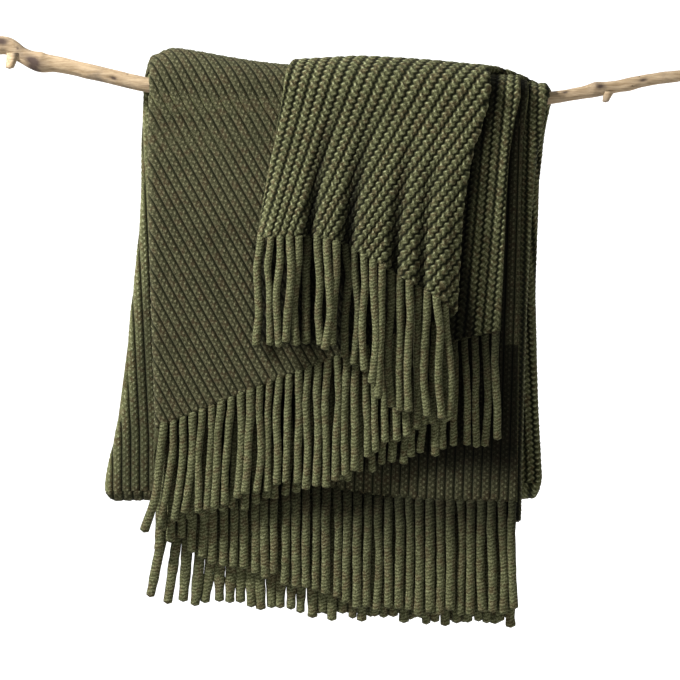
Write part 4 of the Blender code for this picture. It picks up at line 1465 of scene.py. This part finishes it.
@dataclass(frozen=True)
class Studio:
    """White studio: floor and backdrop, soft lights and the camera."""

    centre: tuple[float, float, float] = (0.352, 0.0, -0.296)
    distance: float = 4.0
    view_width: float = 0.68
    floor_z: float = -2.2
    wall_reach: float = 6.0
    wall_curve: float = 0.8
    wall_top: float = 1.2
    dim: float = 0.45
    bright: float = 0.98
    air: float = 0.05
    lamps: tuple[tuple[str, tuple[float, float, float], float, float], ...] = (
        # name, place, size, power
        ("key_light", (-0.92, -0.66, 0.74), 0.34, 74.0),
        ("top_light", (0.35, 0.9, 2.6), 1.2, 30.0))

    def backdrop(self) -> None:
        """Round pale floor that curves up into a low wall, glowing white behind and dimmer in front.
        """
        low, reach, curve = self.floor_z, self.wall_reach, self.wall_curve
        profile = [(0.0, low), (reach - curve, low)]
        profile += [(reach - curve * (1 - math.sin(a)), low + curve * (1 - math.cos(a)))
                    for a in np.linspace(0.0, math.pi / 2, 9)[1:]]
        profile.append((reach, self.wall_top))
        bm = bmesh.new()
        points = [bm.verts.new((x, 0.0, z)) for x, z in profile]
        lines = [bm.edges.new(pair) for pair in zip(points[:-1], points[1:])]
        bmesh.ops.spin(bm, geom=points + lines, cent=(0.0, 0.0, 0.0), axis=(0.0, 0.0, 1.0),
                       angle=2 * math.pi, steps=72, use_merge=True)
        bmesh.ops.remove_doubles(bm, verts=bm.verts[:], dist=0.001)
        mesh = bpy.data.meshes.new("studio_sweep")
        bm.to_mesh(mesh)
        bm.free()
        mesh.shade_smooth()
        mesh.materials.append(self.glow())
        sweep = bpy.data.objects.new("studio_sweep", mesh)
        bpy.context.scene.collection.objects.link(sweep)

    def glow(self) -> bpy.types.Material:
        """Glowing white of the floor and wall, which gives off light: bright behind the throw and
        dimmer in front.
        """
        material = bpy.data.materials.new("studio_white_glow")
        material.use_nodes = True
        kit = NodeKit(material.node_tree)
        shader = material.node_tree.nodes["Principled BSDF"]
        shader.inputs["Base Color"].default_value = (0.5, 0.5, 0.5, 1.0)
        shader.inputs["Roughness"].default_value = 0.9
        shader.inputs["Emission Strength"].default_value = 1.0
        place = kit.add("ShaderNodeTexCoord")
        split = kit.add("ShaderNodeSeparateXYZ")
        kit.link(place.outputs["Object"], split.inputs[0])
        behind = kit.ramp(split.outputs[1], -1.0, 3.2)
        dim, bright = ((tone, tone, tone, 1.0) for tone in (self.dim, self.bright))
        kit.link(kit.blend(behind, dim, bright), shader.inputs["Emission Color"])
        return material

    def light(self, name: str, place: tuple[float, float, float], size: float,
              power: float) -> None:
        """Square soft light aimed at the throw.

        Args:
            name: Name of the light.
            place: Where it stands, in metres.
            size: Side of the square, in metres.
            power: Power in watts.
        """
        data = bpy.data.lights.new(name, "AREA")
        data.size = size
        data.energy = power
        lamp = bpy.data.objects.new(name, data)
        lamp.location = place
        aim = Vector(self.centre) - Vector(place)
        lamp.rotation_euler = aim.to_track_quat("-Z", "Y").to_euler()
        bpy.context.scene.collection.objects.link(lamp)

    def camera(self) -> None:
        """Camera level with the middle of the throw, square to it."""
        data = bpy.data.cameras.new("camera")
        data.sensor_width = 36.0
        data.lens = 36.0 * self.distance / self.view_width
        data.clip_end = 50.0
        camera = bpy.data.objects.new("camera", data)
        camera.location = (self.centre[0], self.centre[1] - self.distance, self.centre[2])
        camera.rotation_euler = (math.pi / 2, 0.0, 0.0)
        bpy.context.scene.collection.objects.link(camera)
        bpy.context.scene.camera = camera

    def world(self) -> None:
        """Even white light from all round."""
        world = bpy.data.worlds.new("studio_air")
        world.use_nodes = True
        back = world.node_tree.nodes["Background"]
        back.inputs["Color"].default_value = (1.0, 1.0, 1.0, 1.0)
        back.inputs["Strength"].default_value = self.air
        bpy.context.scene.world = world

    def build(self) -> None:
        """Set up the studio."""
        self.camera()
        self.world()
        self.backdrop()
        for lamp in self.lamps:
            self.light(*lamp)
        bpy.context.scene.view_settings.view_transform = "Standard"


def main() -> None:
    """Build every piece, dress it and report it."""
    logging.basicConfig(level=logging.INFO, format="%(name)s: %(message)s")
    Studio().build()
    pieces = KnitSheet().build()
    for piece in pieces:
        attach(piece, BODY)
        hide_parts("throw_cloth")
    strands = YarnFinish("chenille_strands", StitchKind.RUNG).material()
    for salt, row in enumerate(FRINGE_ROWS):
        piece = row.build(float(salt * 7 + 3))
        piece.data.materials.append(strands)
        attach(piece, BODY)
        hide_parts(row.node)
        LOG.info("%s: %d faces", piece.name, len(piece.data.polygons))
    branch = Branch().build()
    branch.data.materials.append(WoodFinish().material())
    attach(branch, BODY)
    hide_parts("branch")
    LOG.info("%s: %d faces", branch.name, len(branch.data.polygons))


if __name__ == "__main__":
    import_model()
    main()
